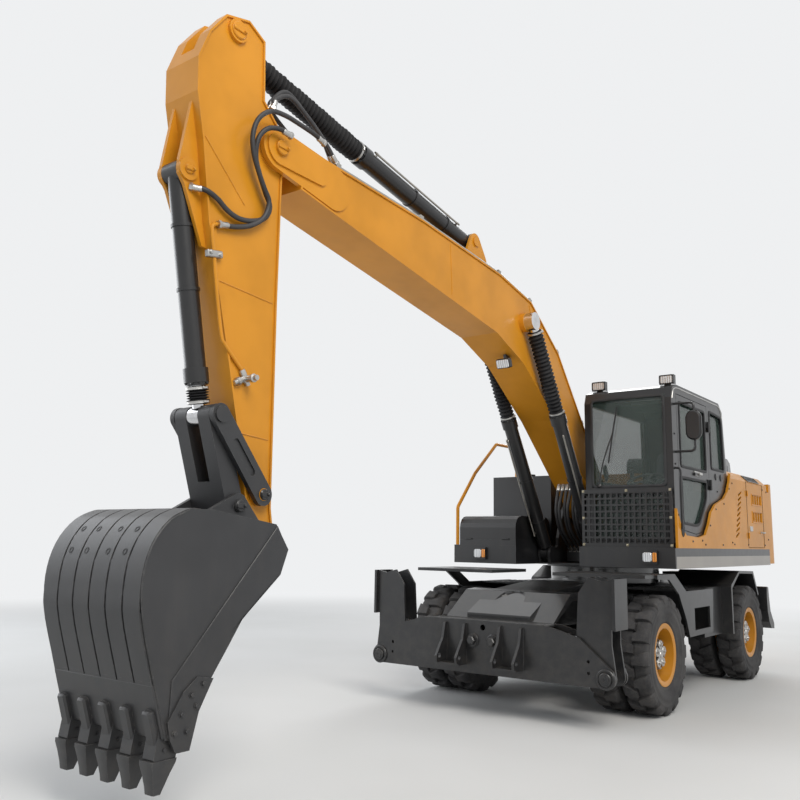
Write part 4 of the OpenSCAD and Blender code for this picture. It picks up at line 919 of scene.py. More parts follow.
@dataclass
class Tyres(Assembly):
    """Twin tyres with a ribbed side wall and two staggered rows of deep lugs.

    Args:
        radius: over the lugs.
        tread: at the foot of the lugs.
        half: half the width; not used.
        bead: radius of the rim seat.
        lugs: lugs in each row.
        outer: the outer tyre's distance from the middle.
        inner: the inner tyre's distance from the middle.
    """

    radius: float = 0.5268
    tread: float = 0.494
    half: float = 0.1348
    bead: float = 0.2545
    lugs: int = 16
    outer: float = 1.112
    inner: float = 0.792

    def carcass(self) -> Form:
        """The casing: a closed profile of (radius, width) turned round the axle, with ribs as small steps."""
        wall = [(self.bead, 0.1022), (0.277, 0.1022), (0.284, 0.1085), (0.292, 0.117), (0.300, 0.1195),
                (0.308, 0.1185), (0.335, 0.1262), (0.365, 0.1315), (0.372, 0.1335), (0.392, 0.1340),
                (0.398, 0.1322), (0.432, 0.1318), (0.438, 0.1338), (0.450, 0.1334), (0.456, 0.1300),
                (0.474, 0.1262), (0.488, 0.1165), (0.4935, 0.104)]
        tread = [(self.tread, 0.060), (self.tread, 0.012), (self.tread - 0.008, 0.009)]
        half = wall + tread
        run = [(r, -h) for r, h in half] + [(r, h) for r, h in reversed(half)]
        return lathe(run + run[:1], 72).turned("Y", 90)

    def lug(self) -> Form:
        """One block of the tread.

        Its stations run from the tread's middle to the shoulder. At each the section is a trapezium of the
        station's half width and height, its middle shifted round the tyre, and the whole is bent round:
        (x, r sin a, r cos a) with a = s / r.
        """
        across = np.array([-0.006, 0.020, 0.060, 0.100, 0.114, 0.128, 0.1335])
        wide = np.array([0.034, 0.040, 0.048, 0.057, 0.060, 0.061, 0.060])
        shift = np.array([-0.018, -0.010, 0.000, 0.008, 0.010, 0.010, 0.010])
        top = np.array([0.5268, 0.5268, 0.5268, 0.5262, 0.520, 0.503, 0.488])
        side = np.array([-1.10, -1.0, -0.93, 0.0, 0.93, 1.0, 1.10])
        rise = np.array([0.0, 0.86, 1.0, 1.0, 1.0, 0.86, 0.0])
        foot = np.array([0.486, 0.486, 0.486, 0.486, 0.484, 0.472, 0.452])
        r = foot[:, None] + (top - foot)[:, None] * rise[None]
        a = (shift[:, None] + wide[:, None] * side[None]) / self.radius
        points = np.stack([across[:, None] + 0 * a, r * np.sin(a), r * np.cos(a)], -1)
        return Form.sum([grid(points), fan(points[0], (-1, 0, 0)), fan(points[-1], (1, 0, 0))])

    def tyre(self) -> Form:
        """The casing with both rows of lugs, the second row mirrored and half a pitch on."""
        block = self.lug()
        rows = [block.ring(self.lugs, "X", (0, 0, 0)),
                block.mirrored().ring(self.lugs, "X", (0, 0, 0), 180.0 / self.lugs)]
        return Form.sum([self.carcass(), *rows])

    def build(self) -> None:
        """One piece for each twin pair, in the place of its solid."""
        tyre = self.tyre()
        for side in Side:
            for end, y in (("front", FRONT_Y), ("rear", REAR_Y)):
                places = np.array([[side.value * x, y, AXLE_Z] for x in (self.outer, self.inner)])
                name = f"{end}_{side.name.lower()}"
                self.add(f"tread_{name}", tyre.copies(places), "tyre_rubber", f"wheels_{name}",
                         (f"tyres_{name}",), 40.0)


@dataclass
class Wheels(Assembly):
    """Rims back to back, the hub between them and its planetary cover, with nuts and bolts, round the X axis.

    Args:
        middle: half way between the twin tyres.
        spread: from there to the middle of each tyre.
        start: the hub's inner end.
        bore: how deep the spindle reaches into it.
        drum: the outer face of the planetary drum.
        lobe: the outer face of its lobes.
    """

    middle: float = 0.952
    spread: float = 0.160
    start: float = 0.644
    bore: float = 0.219
    drum: float = 1.160
    lobe: float = 1.182

    def rims(self) -> Form:
        """Two rims: a flat disc with a cone to the drop centre, a well and rolled flanges."""
        run = [(0.175, -0.140), (0.218, -0.140), (0.240, -0.110), (0.240, -0.107), (0.273, -0.107),
               (0.276, -0.104), (0.276, -0.101), (0.254, -0.0995), (0.254, 0.0995), (0.276, 0.101),
               (0.279, 0.104), (0.277, 0.109), (0.270, 0.110), (0.262, 0.107), (0.240, 0.107),
               (0.232, 0.102), (0.232, -0.100), (0.215, -0.126), (0.175, -0.126), (0.175, -0.140)]
        return lathe(run, 72).turned("Y", 90).moved((self.middle + self.spread, 0, 0)).both(self.middle)

    def hub(self) -> Form:
        """The hub with its disc, the planetary drum and the spindle's bore."""
        disc = self.middle + 0.021
        run = [(0.0703, self.start), (0.150, self.start), (0.150, self.middle - 0.021),
               (0.180, self.middle - 0.021), (0.180, disc + 0.012), (0.176, disc + 0.0165),
               (0.150, disc + 0.0165), (0.138, disc + 0.030), (0.135, self.drum - 0.008),
               (0.129, self.drum), (0, self.drum), (0, self.start + self.bore),
               (0.0703, self.start + self.bore), (0.0703, self.start)]
        return lathe(run, 64).turned("Y", 90)

    def build(self) -> None:
        """Each pair's rims and hub, its ten nuts, the five lobes, the boss and the bolts."""
        wheels = Form.sum([self.rims(), self.hub()])
        small = hex_bolt(0.009, 0.010).turned("Y", 90).moved((self.drum, 0, 0.122))
        pad = lathe([(0.042, 0), (0.042, 0.025), (0.038, 0.030), (0, 0.030)], 28).turned("Y", 90)
        boss = lathe([(0.055, 0), (0.055, 0.020), (0.050, 0.026), (0.030, 0.026), (0.028, 0.030),
                      (0, 0.030)], 28)
        nut = hex_bolt(0.017, 0.030).turned("Y", 90).moved((self.middle + 0.034, 0, 0.197))
        trim = Form.sum([
            nut.ring(10, "X", (0, 0, 0)),
            small.ring(5, "X", (0, 0, 0), 30.0), small.ring(5, "X", (0, 0, 0), 42.0),
            pad.moved((self.lobe - 0.030, 0, 0.086)).ring(5, "X", (0, 0, 0)),
            hex_bolt(0.014, 0.012).turned("Y", 90).moved((self.lobe, 0, 0.086)).ring(5, "X", (0, 0, 0)),
            boss.turned("Y", 90).moved((self.drum - 0.004, 0, 0))])
        for side in Side:
            for end, y in (("front", FRONT_Y), ("rear", REAR_Y)):
                forms = [wheels, trim] if side is Side.LEFT else [wheels.mirrored(), trim.mirrored()]
                name, place = f"{end}_{side.name.lower()}", (0, y, AXLE_Z)
                self.add(f"wheel_rims_{name}", forms[0].moved(place), f"rim_{end}", f"wheels_{name}",
                         (f"rims_{name}",))
                self.add(f"hub_bolts_{name}", forms[1].moved(place), "clamp", f"wheels_{name}")


@dataclass(frozen=True)
class Ram:
    """A hydraulic cylinder in the side plane: its base and rod eye as (y, z), and its sizes along it.

    Args:
        x: sideways place.
        base: the base eye.
        eye: the rod's eye.
        barrel: radius of the barrel.
        head: where the barrel ends.
        sleeve: where the bellows ends.
        outer: radius over the pleats.
        inner: radius between the pleats.
        pleats: how many.
    """

    x: float
    base: tuple[float, float]
    eye: tuple[float, float]
    barrel: float
    head: float
    sleeve: float
    outer: float
    inner: float
    pleats: int

    def at(self, s: float, side: float = 0.0, front: float = 0.0) -> Array:
        """The point base + s u, moved sideways and to the front, square to the cylinder."""
        u = unit(np.subtract(self.eye, self.base))
        return np.array([self.x + side, self.base[0] + s * u[0] - front * u[1],
                         self.base[1] + s * u[1] + front * u[0]])

    def aligned(self, form: Form, s: float = 0.0) -> Form:
        """A form drawn along Z, laid along the cylinder from the distance s."""
        u = unit(np.subtract(self.eye, self.base))
        return form.framed(self.at(s), (1, 0, 0), (0, u[0], u[1]))

    def bellows(self) -> Form:
        """A closed pleated sleeve, worn and uneven.

        r(s) swings between inner and outer as a rounded wave, one period for each pleat. Each pleat keeps a
        height of its own between three quarters and the whole, and its crest ripples round the sleeve.

        Returns:
            The sleeve, laid along the cylinder.
        """
        length = self.sleeve - self.head - 0.002
        s = np.linspace(0, 1, 8 * self.pleats + 1)
        draw = np.random.default_rng(self.pleats)
        crest, turn = draw.uniform(0.74, 0.96, self.pleats + 1), draw.uniform(0, 2 * np.pi, self.pleats + 1)
        pleat = np.minimum((s * self.pleats).astype(int), self.pleats)
        wave = (0.5 - 0.5 * np.cos(2 * np.pi * s * self.pleats)) ** 0.7
        hole = self.inner - 0.008
        run = [(hole, 0.0), *zip(0 * s + self.inner, s * length), (hole, length), (hole, 0.0)]
        sleeve = lathe(run, 36)
        around = np.arctan2(sleeve.points[:, 1], sleeve.points[:, 0]).reshape(36, -1)[:, 1:-2]
        ripple = crest[pleat] + 0.04 * np.sin(3 * around + turn[pleat])
        radius = self.inner + (self.outer - self.inner) * wave * ripple
        rings = sleeve.points.reshape(36, -1, 3)
        rings[:, 1:-2, 0], rings[:, 1:-2, 1] = radius * np.cos(around), radius * np.sin(around)
        return self.aligned(Form(rings.reshape(-1, 3), sleeve.faces), self.head + 0.001)

    def band(self, s: float, radius: float, width: float = 0.020) -> Form:
        """A hose clamp: a flat ring with rolled edges and its screw housing."""
        w = width / 2
        ring = lathe([(radius - 0.006, -w), (radius, -w), (radius + 0.004, -0.8 * w), (radius + 0.003, 0),
                      (radius + 0.004, 0.8 * w), (radius, w), (radius - 0.006, w), (radius - 0.006, -w)], 36)
        screw = slab(rounded(0.034, 0.016, 0.004), 0.014, 0.003).framed((radius, 0, 0), (0, 1, 0), (1, 0, 0))
        return self.aligned(Form.sum([ring, screw]), s)


@dataclass
class Rams(Assembly):
    """Bellows, clamps, glands and pipes of the boom, arm and bucket cylinders."""

    boom: tuple[Ram, ...] = tuple(Ram(BOOM_X + s * 0.285, (-0.66, 1.40), (-2.03, 3.67), 0.072, 1.652, 2.548,
                                      0.0815, 0.060, 22) for s in (1, -1))
    arm: Ram = Ram(BOOM_X, (-2.80, 4.30), (-5.86, 4.83), 0.078, 1.652, 2.813, 0.0915, 0.066, 30)
    bucket: Ram = Ram(BOOM_X, (-6.15, 3.76), (-5.87, 2.25), 0.066, 1.345, 1.462, 0.074, 0.050, 7)

    def sleeve(self, name: str, rams: Sequence[Ram], bodies: tuple[str, str],
               stands_for: Sequence[str] = ()) -> None:
        """The bellows of a set of cylinders, held by a clamp at each end."""
        first = rams[0]
        middle = np.array([BOOM_X, 0, 0])
        ends = tuple(np.where([True, False, False], middle, first.at(s)) for s in (first.head, first.sleeve))
        self.stretch(f"{name}_pleats", Form.sum(r.bellows() for r in rams), "bellows_rubber", bodies, ends,
                     stands_for)
        low = Form.sum(r.band(r.head + 0.016, r.outer - 0.006) for r in rams)
        high = Form.sum(r.band(r.sleeve - 0.014, r.outer - 0.006) for r in rams)
        self.add(f"{name}_low_clamps", low, "clamp", bodies[0])
        self.add(f"{name}_high_clamps", high, "clamp", bodies[1])

    def pipe(self, ram: Ram, start: float, end: float, side: float, front: float) -> Form:
        """A thin pipe along the barrel, turned in at both ends."""
        far, near = 1.0, 0.55
        run = rope([ram.at(start - 0.03, side * near, front * near), ram.at(start, side * far, front * far),
                    ram.at(start + 0.05, side * far, front * far),
                    ram.at(end - 0.05, side * far, front * far), ram.at(end, side * far, front * far),
                    ram.at(end + 0.03, side * near, front * near)], 0.009, 10, 5)
        return run

    def build(self) -> None:
        """Every cylinder's sleeve, clamps, pipe and head bolts."""
        self.sleeve("boom", self.boom, ("boom_barrels", "boom_rods"), ("boom_bellows",))
        self.sleeve("arm", (self.arm,), ("arm_barrel", "arm_rod"), ("arm_bellows",))
        self.sleeve("bucket", (self.bucket,), ("bucket_barrel", "bucket_rod"))
        out = 0.090
        pipes = [self.pipe(r, 0.30, 1.40, math.copysign(0.5, r.x - BOOM_X) * out, 0.86 * out)
                 for r in self.boom]
        self.add("boom_cylinder_pipes", Form.sum(pipes), "pipe_steel", "boom_barrels")
        self.add("arm_cylinder_pipe", self.pipe(self.arm, 0.30, 1.48, 0.080, -0.055), "pipe_steel",
                 "arm_barrel")
        for name, rams, body in (("boom", self.boom, "boom_barrels"), ("arm", (self.arm,), "arm_barrel"),
                                 ("bucket", (self.bucket,), "bucket_barrel")):
            heads = []
            for ram in rams:
                bolt = hex_bolt(0.010, 0.012).moved((ram.barrel + 0.001, 0, 0)).ring(8, "Z", (0, 0, 0), 22.5)
                ring = lathe([(ram.barrel - 0.002, -0.010), (ram.barrel + 0.007, -0.010),
                              (ram.barrel + 0.007, 0.010), (ram.barrel - 0.002, 0.010),
                              (ram.barrel - 0.002, -0.010)], 36)
                heads.append(Form.sum([ram.aligned(bolt, ram.head - 0.022),
                                       ram.aligned(ring, 0.55 * ram.head),
                                       ram.aligned(ring, 0.25 * ram.head)]))
            self.add(f"{name}_cylinder_bolts", Form.sum(heads), "black_paint", body)


@dataclass
class Lines(Assembly):
    """Hydraulic hoses and steel pipes from the upper structure along the boom to the bucket's cylinder."""

    hose: float = 0.017
    long_loop: tuple = ((0.115, -5.060, 4.350), (0.125, -5.158, 4.366), (0.135, -5.337, 4.372),
                        (0.150, -5.488, 4.363), (0.155, -5.623, 4.331), (0.150, -5.722, 4.238),
                        (0.140, -5.757, 4.118), (0.130, -5.734, 3.997), (0.120, -5.673, 3.890),
                        (0.115, -5.616, 3.803), (0.110, -5.560, 3.718), (0.100, -5.592, 3.603),
                        (0.090, -5.691, 3.520), (0.080, -5.811, 3.473), (0.072, -5.930, 3.452))
    short_loop: tuple = ((0.172, -5.455, 4.225), (0.165, -5.540, 4.235), (0.150, -5.640, 4.200),
                         (0.130, -5.700, 4.110), (0.110, -5.695, 3.990), (0.098, -5.640, 3.880),
                         (0.090, -5.575, 3.780), (0.088, -5.530, 3.700), (0.086, -5.570, 3.610),
                         (0.082, -5.680, 3.555), (0.080, -5.794, 3.537), (0.080, -5.892, 3.561),
                         (0.078, -5.974, 3.609), (0.062, -6.056, 3.640), (0.010, -6.115, 3.650))

    def ferrule(self, place: Array, along: Array) -> Form:
        """A crimped hose end: a turned sleeve with a hexagon nut, pointing along the hose."""
        sleeve = lathe([(0, 0), (0.021, 0), (0.022, 0.010), (0.020, 0.030), (0.022, 0.050), (0.018, 0.060),
                        (0, 0.060)], 14)
        nut = slab(circle(0.027, 6), 0.022, 0.004).moved((0, 0, -0.020))
        up = (1, 0, 0) if abs(unit(along)[0]) < 0.9 else (0, 1, 0)
        return Form.sum([sleeve, nut]).framed(place, up, along)

    def run(self, corners: Sequence[Sequence[float]], radius: float | None = None) -> tuple[Form, Form]:
        """A hose through its corners and the two ferrules at its ends."""
        p = np.asarray(corners, float)
        hose = rope(p, radius or self.hose, 12, 8)
        ends = Form.sum([self.ferrule(p[0], p[1] - p[0]), self.ferrule(p[-1], p[-2] - p[-1])])
        return hose, ends

    def boom_to_arm(self) -> None:
        """Four loops from the pipes on top of the boom, over the tip, to the arm's back and down its side."""
        hoses, low, high = [], [], []
        for side in (1, -1):
            for k, x in enumerate((0.166, 0.128)):
                x = BOOM_X + side * x
                lift = 0.06 + 0.05 * k
                path = [(x, -4.86, 4.285), (x, -4.98, 4.33 + lift), (x, -5.16, 4.44 + lift),
                        (x, -5.36, 4.52 + lift), (x, -5.50, 4.50), (x, -5.52, 4.43)]
                hose, ends = self.run(path)
                hoses.append(hose)
                low.append(self.ferrule(np.array(path[0]), np.subtract(path[1], path[0])))
                high.append(self.ferrule(np.array(path[-1]), np.subtract(path[-2], path[-1])))
        for path in (self.long_loop, self.short_loop):
            hose, _ = self.run(path)
            hoses.append(hose)
            low.append(self.ferrule(np.array(path[0]), np.subtract(path[1], path[0])))
            high.append(self.ferrule(np.array(path[-1]), np.subtract(path[-2], path[-1])))
        ends = (np.array([BOOM_X, -5.20, 4.33]), np.array([BOOM_X, -5.68, 4.16]))
        self.stretch("tip_hoses", Form.sum(hoses), "hose", ("boom", "arm"), ends)
        self.add("tip_ferrules_boom", Form.sum(low), "clamp", "boom")
        self.add("tip_ferrules_arm", Form.sum(high), "clamp", "arm")

    def deck_to_boom(self) -> None:
        """Six hoses from the block in the deck's channel up to the plates under the boom's foot."""
        hoses, low, high = [], [], []
        for k in range(6):
            x = BOOM_X - 0.125 + 0.05 * k
            sag = 0.03 * (k % 2)
            path = [(x, -0.40, 1.44), (x, -0.50, 1.52), (x, -0.66 - sag, 1.66), (x, -0.74 - sag, 1.86),
                    (x, -0.70, 2.05), (x, -0.655, 2.135)]
            hose, _ = self.run(path)
            hoses.append(hose)
            low.append(self.ferrule(np.array(path[0]), np.subtract(path[1], path[0])))
            high.append(self.ferrule(np.array(path[-1]), np.subtract(path[-2], path[-1])))
        ends = (np.array([BOOM_X, -0.46, 1.50]), np.array([BOOM_X, -0.68, 2.08]))
        self.stretch("foot_hoses", Form.sum(hoses), "hose", ("upper_structure", "boom"), ends)
        block = slab(rounded(0.34, 0.10, 0.012), 0.12, 0.008)
        block = block.framed((BOOM_X, -0.36, 1.315), (1, 0, 0), (0, 0, 1))
        self.add("valve_block", block, "black_paint", "upper_structure")
        self.add("foot_ferrules", Form.sum(low), "clamp", "upper_structure")
        self.add("foot_ferrules_boom", Form.sum(high), "clamp", "boom")

    def arm_pipes(self) -> None:
        """A painted pipe down the arm's front edge, with a clamp block and a tee valve below."""
        x = BOOM_X + 0.163
        pipe = rope([(x, -5.945, 3.452), (x, -5.985, 3.430), (x, -5.985, 3.370), (x, -5.963, 3.250),
                     (x, -5.913, 2.954), (x, -5.868, 2.744), (x, -5.840, 2.700), (x, -5.776, 2.639),
                     (x, -5.663, 2.540)], 0.012, 10, 7)
        self.add("arm_pipe", pipe, "amber_arm", "arm")
        block = slab(rounded(0.120, 0.046, 0.008), 0.032, 0.005)
        block = block.framed((BOOM_X + 0.150, -5.963, 3.250), (0, 1, 0.15), (1, 0, 0))
        bolts = [hex_bolt(0.012, 0.010).framed((BOOM_X + 0.182, -5.963 + d, 3.250), (0, 1, 0), (1, 0, 0))
                 for d in (-0.038, 0.038)]
        tube = lathe([(0, 0), (0.020, 0), (0.022, 0.010), (0.022, 0.060), (0.028, 0.062), (0.028, 0.082),
                      (0.018, 0.086), (0.018, 0.110), (0, 0.110)], 16)
        tee = [tube.framed((x, -5.690, 2.560), (1, 0, 0), (0, 0.55, -0.85)),
               tube.framed((x, -5.655, 2.505), (0, 1, 0), (1, 0, 0)),
               tube.framed((x, -5.650, 2.512), (1, 0, 0), (0, -0.85, -0.40))]
        self.add("arm_clamps", Form.sum([block, *bolts, *tee]), "clamp", "arm")

    def build(self) -> None:
        """All hoses and pipes."""
        self.boom_to_arm()
        self.deck_to_boom()
        self.arm_pipes()


def shrink(outline: Array, by: float) -> Array:
    """An anticlockwise outline moved inwards by a distance along the mean of its neighbours' normals."""
    p = np.asarray(outline, float)
    before, after = unit(p - np.roll(p, 1, 0)), unit(np.roll(p, -1, 0) - p)
    inward = np.stack([-(before + after)[:, 1], (before + after)[:, 0]],
                      -1) / (1 + (before * after).sum(1))[:, None]
    return p + by * inward


def frame_strip(outline: Sequence[Sequence[float]], width: float, height: float) -> Form:
    """A strip of rounded section round an outline, standing on z = 0 and reaching inwards by its width."""
    steps = ((0.0, 0.0), (0.0, 0.7 * height), (0.2 * width, height), (0.8 * width, height),
             (width, 0.7 * height), (width, 0.0))
    rings = [np.column_stack([shrink(outline, t), np.full(len(outline), h)]) for t, h in steps]
    return grid(np.stack(rings), wrap_u=True, wrap_v=True).flipped()


def soften(outline: Sequence[Sequence[float]], radius: float, steps: int = 4) -> Array:
    """An outline with each corner cut back by the radius and rounded by a quadratic curve."""
    p = np.asarray(outline, float)
    back, ahead = np.roll(p, 1, 0) - p, np.roll(p, -1, 0) - p
    a, b = unit(back), unit(ahead)
    shorter = np.minimum(np.linalg.norm(back, axis=1), np.linalg.norm(ahead, axis=1))
    near = np.minimum(radius, 0.45 * shorter)[:, None]
    t = np.linspace(0, 1, steps + 1)[None, :, None]
    start, end, mid = (p + a * near)[:, None], (p + b * near)[:, None], p[:, None]
    return ((1 - t) ** 2 * start + 2 * t * (1 - t) * mid + t**2 * end).reshape(-1, 2)


def on_left(form: Form, x: float) -> Form:
    """A form drawn in (y, z) with its height outwards, laid on a plane that faces left."""
    return form.framed((x, 0, 0), (0, 1, 0), (1, 0, 0))


def on_front(form: Form, y: float) -> Form:
    """A form drawn in (x, z) with its height outwards, laid on a plane that faces forward."""
    return form.framed((0, y, 0), (1, 0, 0), (0, -1, 0))


@dataclass
class Cab(Assembly):
    """Window seals, gutter, handles, wiper, mirror face, lamps and the driver's cushion."""

    left: float = 1.215
    front: float = -1.080
    upper: tuple = ((-0.870, 2.280), (-0.050, 2.280), (-0.050, 2.950), (-0.870, 2.950))
    lower: tuple = ((-0.860, 1.720), (-0.460, 1.700), (-0.350, 1.720), (-0.170, 1.900), (-0.090, 2.000),
                    (-0.060, 2.190), (-0.870, 2.190))
    quarter: tuple = ((0.110, 2.330), (0.590, 2.330), (0.560, 2.900), (0.520, 2.960), (0.110, 2.980))
    screen: tuple = ((0.360, 2.080), (1.145, 2.080), (1.145, 3.000), (0.360, 3.000))
    low_screen: tuple = ((0.360, 1.540), (1.145, 1.540), (1.145, 2.030), (0.360, 2.030))

    def seals(self) -> None:
        """A rubber strip round every pane."""
        door = [on_left(frame_strip(soften(shrink(p, -0.004), 0.05), 0.026, 0.009), self.left - 0.001)
                for p in (self.upper, self.lower)]
        self.add("door_seals", Form.sum(door), "seal", "cab_door")
        shell = [on_left(frame_strip(soften(shrink(self.quarter, -0.004), 0.05), 0.026, 0.009),
                         self.left - 0.001)]
        shell += [on_front(frame_strip(soften(shrink(p, -0.004), 0.06), 0.026, 0.009), self.front + 0.001)
                  for p in (self.screen, self.low_screen)]
        self.add("cab_seals", Form.sum(shell), "seal", "upper_structure")

    def trim(self) -> None:
        """The gutter along the roof's edge, a wiper with its arm, and grab rails beside the door."""
        gutter = rope([(self.left + 0.001, 0.585, 2.93), (self.left + 0.001, 0.55, 3.02),
                       (self.left + 0.001, 0.45, 3.075), (self.left + 0.001, 0.20, 3.078),
                       (self.left + 0.001, -0.60, 3.078), (self.left + 0.001, -0.90, 3.076),
                       (self.left + 0.001, -1.01, 3.045), (self.left + 0.001, -1.055, 2.95)], 0.007, 8, 5)
        self.add("gutter", gutter, "clamp", "upper_structure")
        limb = rope([(0.44, -1.092, 2.10), (0.50, -1.106, 2.35), (0.60, -1.104, 2.62)], 0.007, 8, 6)
        blade = rope([(0.55, -1.094, 2.33), (0.60, -1.096, 2.62), (0.655, -1.094, 2.90)], 0.009, 6, 6)
        hub = lathe([(0.020, 0), (0.022, 0.012), (0.012, 0.020), (0, 0.020)], 14)
        wiper = Form.sum([limb, blade, hub.framed((0.44, -1.080, 2.10), (1, 0, 0), (0, -1, 0))])
        self.add("wiper", wiper, "black_paint", "upper_structure")
        rail = rope([(1.216, -1.03, 1.66), (1.262, -1.03, 1.68), (1.262, -1.03, 1.80), (1.262, -1.03, 2.10),
                     (1.262, -1.03, 2.24), (1.216, -1.03, 2.26)], 0.011, 10, 6)
        self.add("grab_rail", rail, "black_paint", "upper_structure")
        plate = slab(rounded(0.20, 0.050, 0.012) + [-0.375, 2.246], 0.012, 0.004)
        lever = slab(rounded(0.09, 0.028, 0.010) + [-0.335, 2.246], 0.020, 0.006)
        latch = Form.sum([on_left(plate, self.left), on_left(lever, self.left + 0.016)])
        self.add("door_latch", latch, "clamp", "cab_door")
        plug = lathe([(0.036, 0), (0.038, 0.006), (0.028, 0.010), (0, 0.011)], 20)
        bolt = hex_bolt(0.009, 0.008)
        plugs = [on_left(plug.moved((y, 2.26, 0)), self.left) for y in (0.27, 0.45)]
        spots = ((0.62, 2.15), (0.62, 2.02), (0.30, 2.10), (-1.02, 2.30), (-1.02, 2.60), (-1.02, 1.60))
        bolts = [on_left(bolt.moved((y, z, 0)), self.left) for y, z in spots]
        self.add("cab_plugs", Form.sum(plugs + bolts), "black_paint", "upper_structure")

    def mirror(self) -> None:
        """The mirror's glass in its housing, facing back."""
        t = np.linspace(0, np.pi, 9)
        top = np.stack([0.068 * np.cos(t), 0.070 + 0.068 * np.sin(t)], -1)
        oval = np.vstack([top, -top])
        glass = slab(oval, 0.003, 0.001).framed((1.412, -1.012, 2.670), (-1, 0, 0), (0, 1, 0))
        self.add("mirror_glass", glass, "mirror", "upper_structure")
        shell = slab(oval * 1.06, 0.020, 0.012).framed((1.412, -1.040, 2.670), (1, 0, 0), (0, -1, 0))
        self.add("mirror_back", shell, "black_paint", "upper_structure")

    def lamps(self) -> None:
        """Lenses of the roof lamps, and the headlamps with their indicators on the deck's front corners."""
        lens = [on_front(slab(rounded(0.130, 0.080, 0.020) + [x, 3.172], 0.006, 0.003), -0.922)
                for x in (0.385, 1.120)]
        rims = [on_front(frame_strip(rounded(0.150, 0.096, 0.020) + [x, 3.172], 0.012, 0.010), -0.922)
                for x in (0.385, 1.120)]
        lens += [on_front(slab(rounded(0.090, 0.090, 0.020) + [x, 1.39], 0.010, 0.004), -1.250)
                 for x in (-0.925, 0.985)]
        amber = [on_front(slab(rounded(0.042, 0.090, 0.012) + [x, 1.39], 0.012, 0.004), -1.250)
                 for x in (-0.853, 1.058)]
        self.add("lamp_lenses", Form.sum(lens), "lens", "upper_structure")
        self.add("lamp_rims", Form.sum(rims), "black_paint", "upper_structure")
        self.add("indicators", Form.sum(amber), "amber_lens", "upper_structure")

    def pad(self, width: float, depth: float, height: float, crown: float) -> Form:
        """A crowned cushion: a block whose top swells by crown (1 - x²)(1 - y²) and whose sides pull in.

        Args:
            width: along x.
            depth: along y.
            height: at the corners.
            crown: how far the middle of the top stands above them.

        Returns:
            The closed form, standing on z = 0 about the middle.
        """
        n = 24
        u = np.linspace(-1, 1, n)
        x, y = np.meshgrid(u, u, indexing="ij")
        squash = 1 - 0.03 * np.cos(np.pi * x / 2) * np.cos(np.pi * y / 2)
        round_off = 1 - 0.10 * (np.abs(x) ** 6 + np.abs(y) ** 6) / 2
        flat = np.stack([x * width / 2 * squash * round_off, y * depth / 2 * squash * round_off], -1)
        seam = 0.010 * np.exp(-((np.abs(x) - 0.62) / 0.05) ** 2)
        swell = crown * (1 - x**2) * (1 - y**2)
        top = height - 0.35 * height * (np.abs(x) ** 8 + np.abs(y) ** 8) / 2 + swell - seam
        upper = np.dstack([flat, top])
        lower = np.dstack([flat * 0.97, 0.12 * height * (np.abs(x) ** 8 + np.abs(y) ** 8)])
        edge = np.concatenate([np.stack([np.arange(n - 1), np.zeros(n - 1, int)], -1),
                               np.stack([np.full(n - 1, n - 1), np.arange(n - 1)], -1),
                               np.stack([np.arange(n - 1, 0, -1), np.full(n - 1, n - 1)], -1),
                               np.stack([np.zeros(n - 1, int), np.arange(n - 1, 0, -1)], -1)])
        ring_top, ring_low = upper[edge[:, 0], edge[:, 1]], lower[edge[:, 0], edge[:, 1]]
        middle = (ring_top + ring_low) / 2 + [0, 0, 0.0]
        middle[:, :2] *= 1.015
        wall = grid(np.stack([ring_low, middle, ring_top]), wrap_v=True).flipped()
        return Form.sum([grid(upper), grid(lower).flipped(), wall])

    def cushion(self) -> None:
        """The driver's cushion and its back, as two padded pieces in the place of their solid."""
        mid, low = 0.7525, 1.525
        base = self.pad(0.47, 0.49, 0.105, 0.022).moved((mid, 0.010, low + 0.262))
        back = self.pad(0.43, 0.62, 0.095, 0.020).framed((mid, 0.330, low + 0.720), (1, 0, 0), (0, -1, 0.16))
        for name, form, nodes in (("cushion_base", base, ("driver_cushion",)), ("cushion_back", back, ())):
            piece = self.add(name, form, "cloth", "upper_structure", nodes, 60.0)

    def levers(self) -> None:
        """Two control levers with rubber boots, pedals and a display on its stalk."""
        boot = lathe([(0.045, 0), (0.047, 0.010), (0.036, 0.016), (0.038, 0.026), (0.028, 0.032),
                      (0.030, 0.042), (0.014, 0.060), (0.011, 0.13), (0.020, 0.15), (0.024, 0.20),
                      (0.018, 0.24), (0, 0.25)], 16)
        pedal = slab(rounded(0.10, 0.05, 0.01), 0.20, 0.01)
        display = slab(rounded(0.19, 0.13, 0.015), 0.03, 0.01)
        form = Form.sum([boot.moved((x, -0.25, 2.085)) for x in (0.4625, 1.0425)]
                        + [pedal.framed((x, -0.86, 1.60), (1, 0, 0), (0, 0.4, 1)) for x in (0.66, 0.84)]
                        + [display.framed((0.42, -0.90, 2.24), (0.4, 1, 0), (0.9, 0.5, 0.2))])
        self.add("levers", form, "moulded", "upper_structure")

    def build(self) -> None:
        """Everything on and in the cab."""
        self.seals()
        self.trim()
        self.mirror()
        self.lamps()
        self.cushion()
        self.levers()


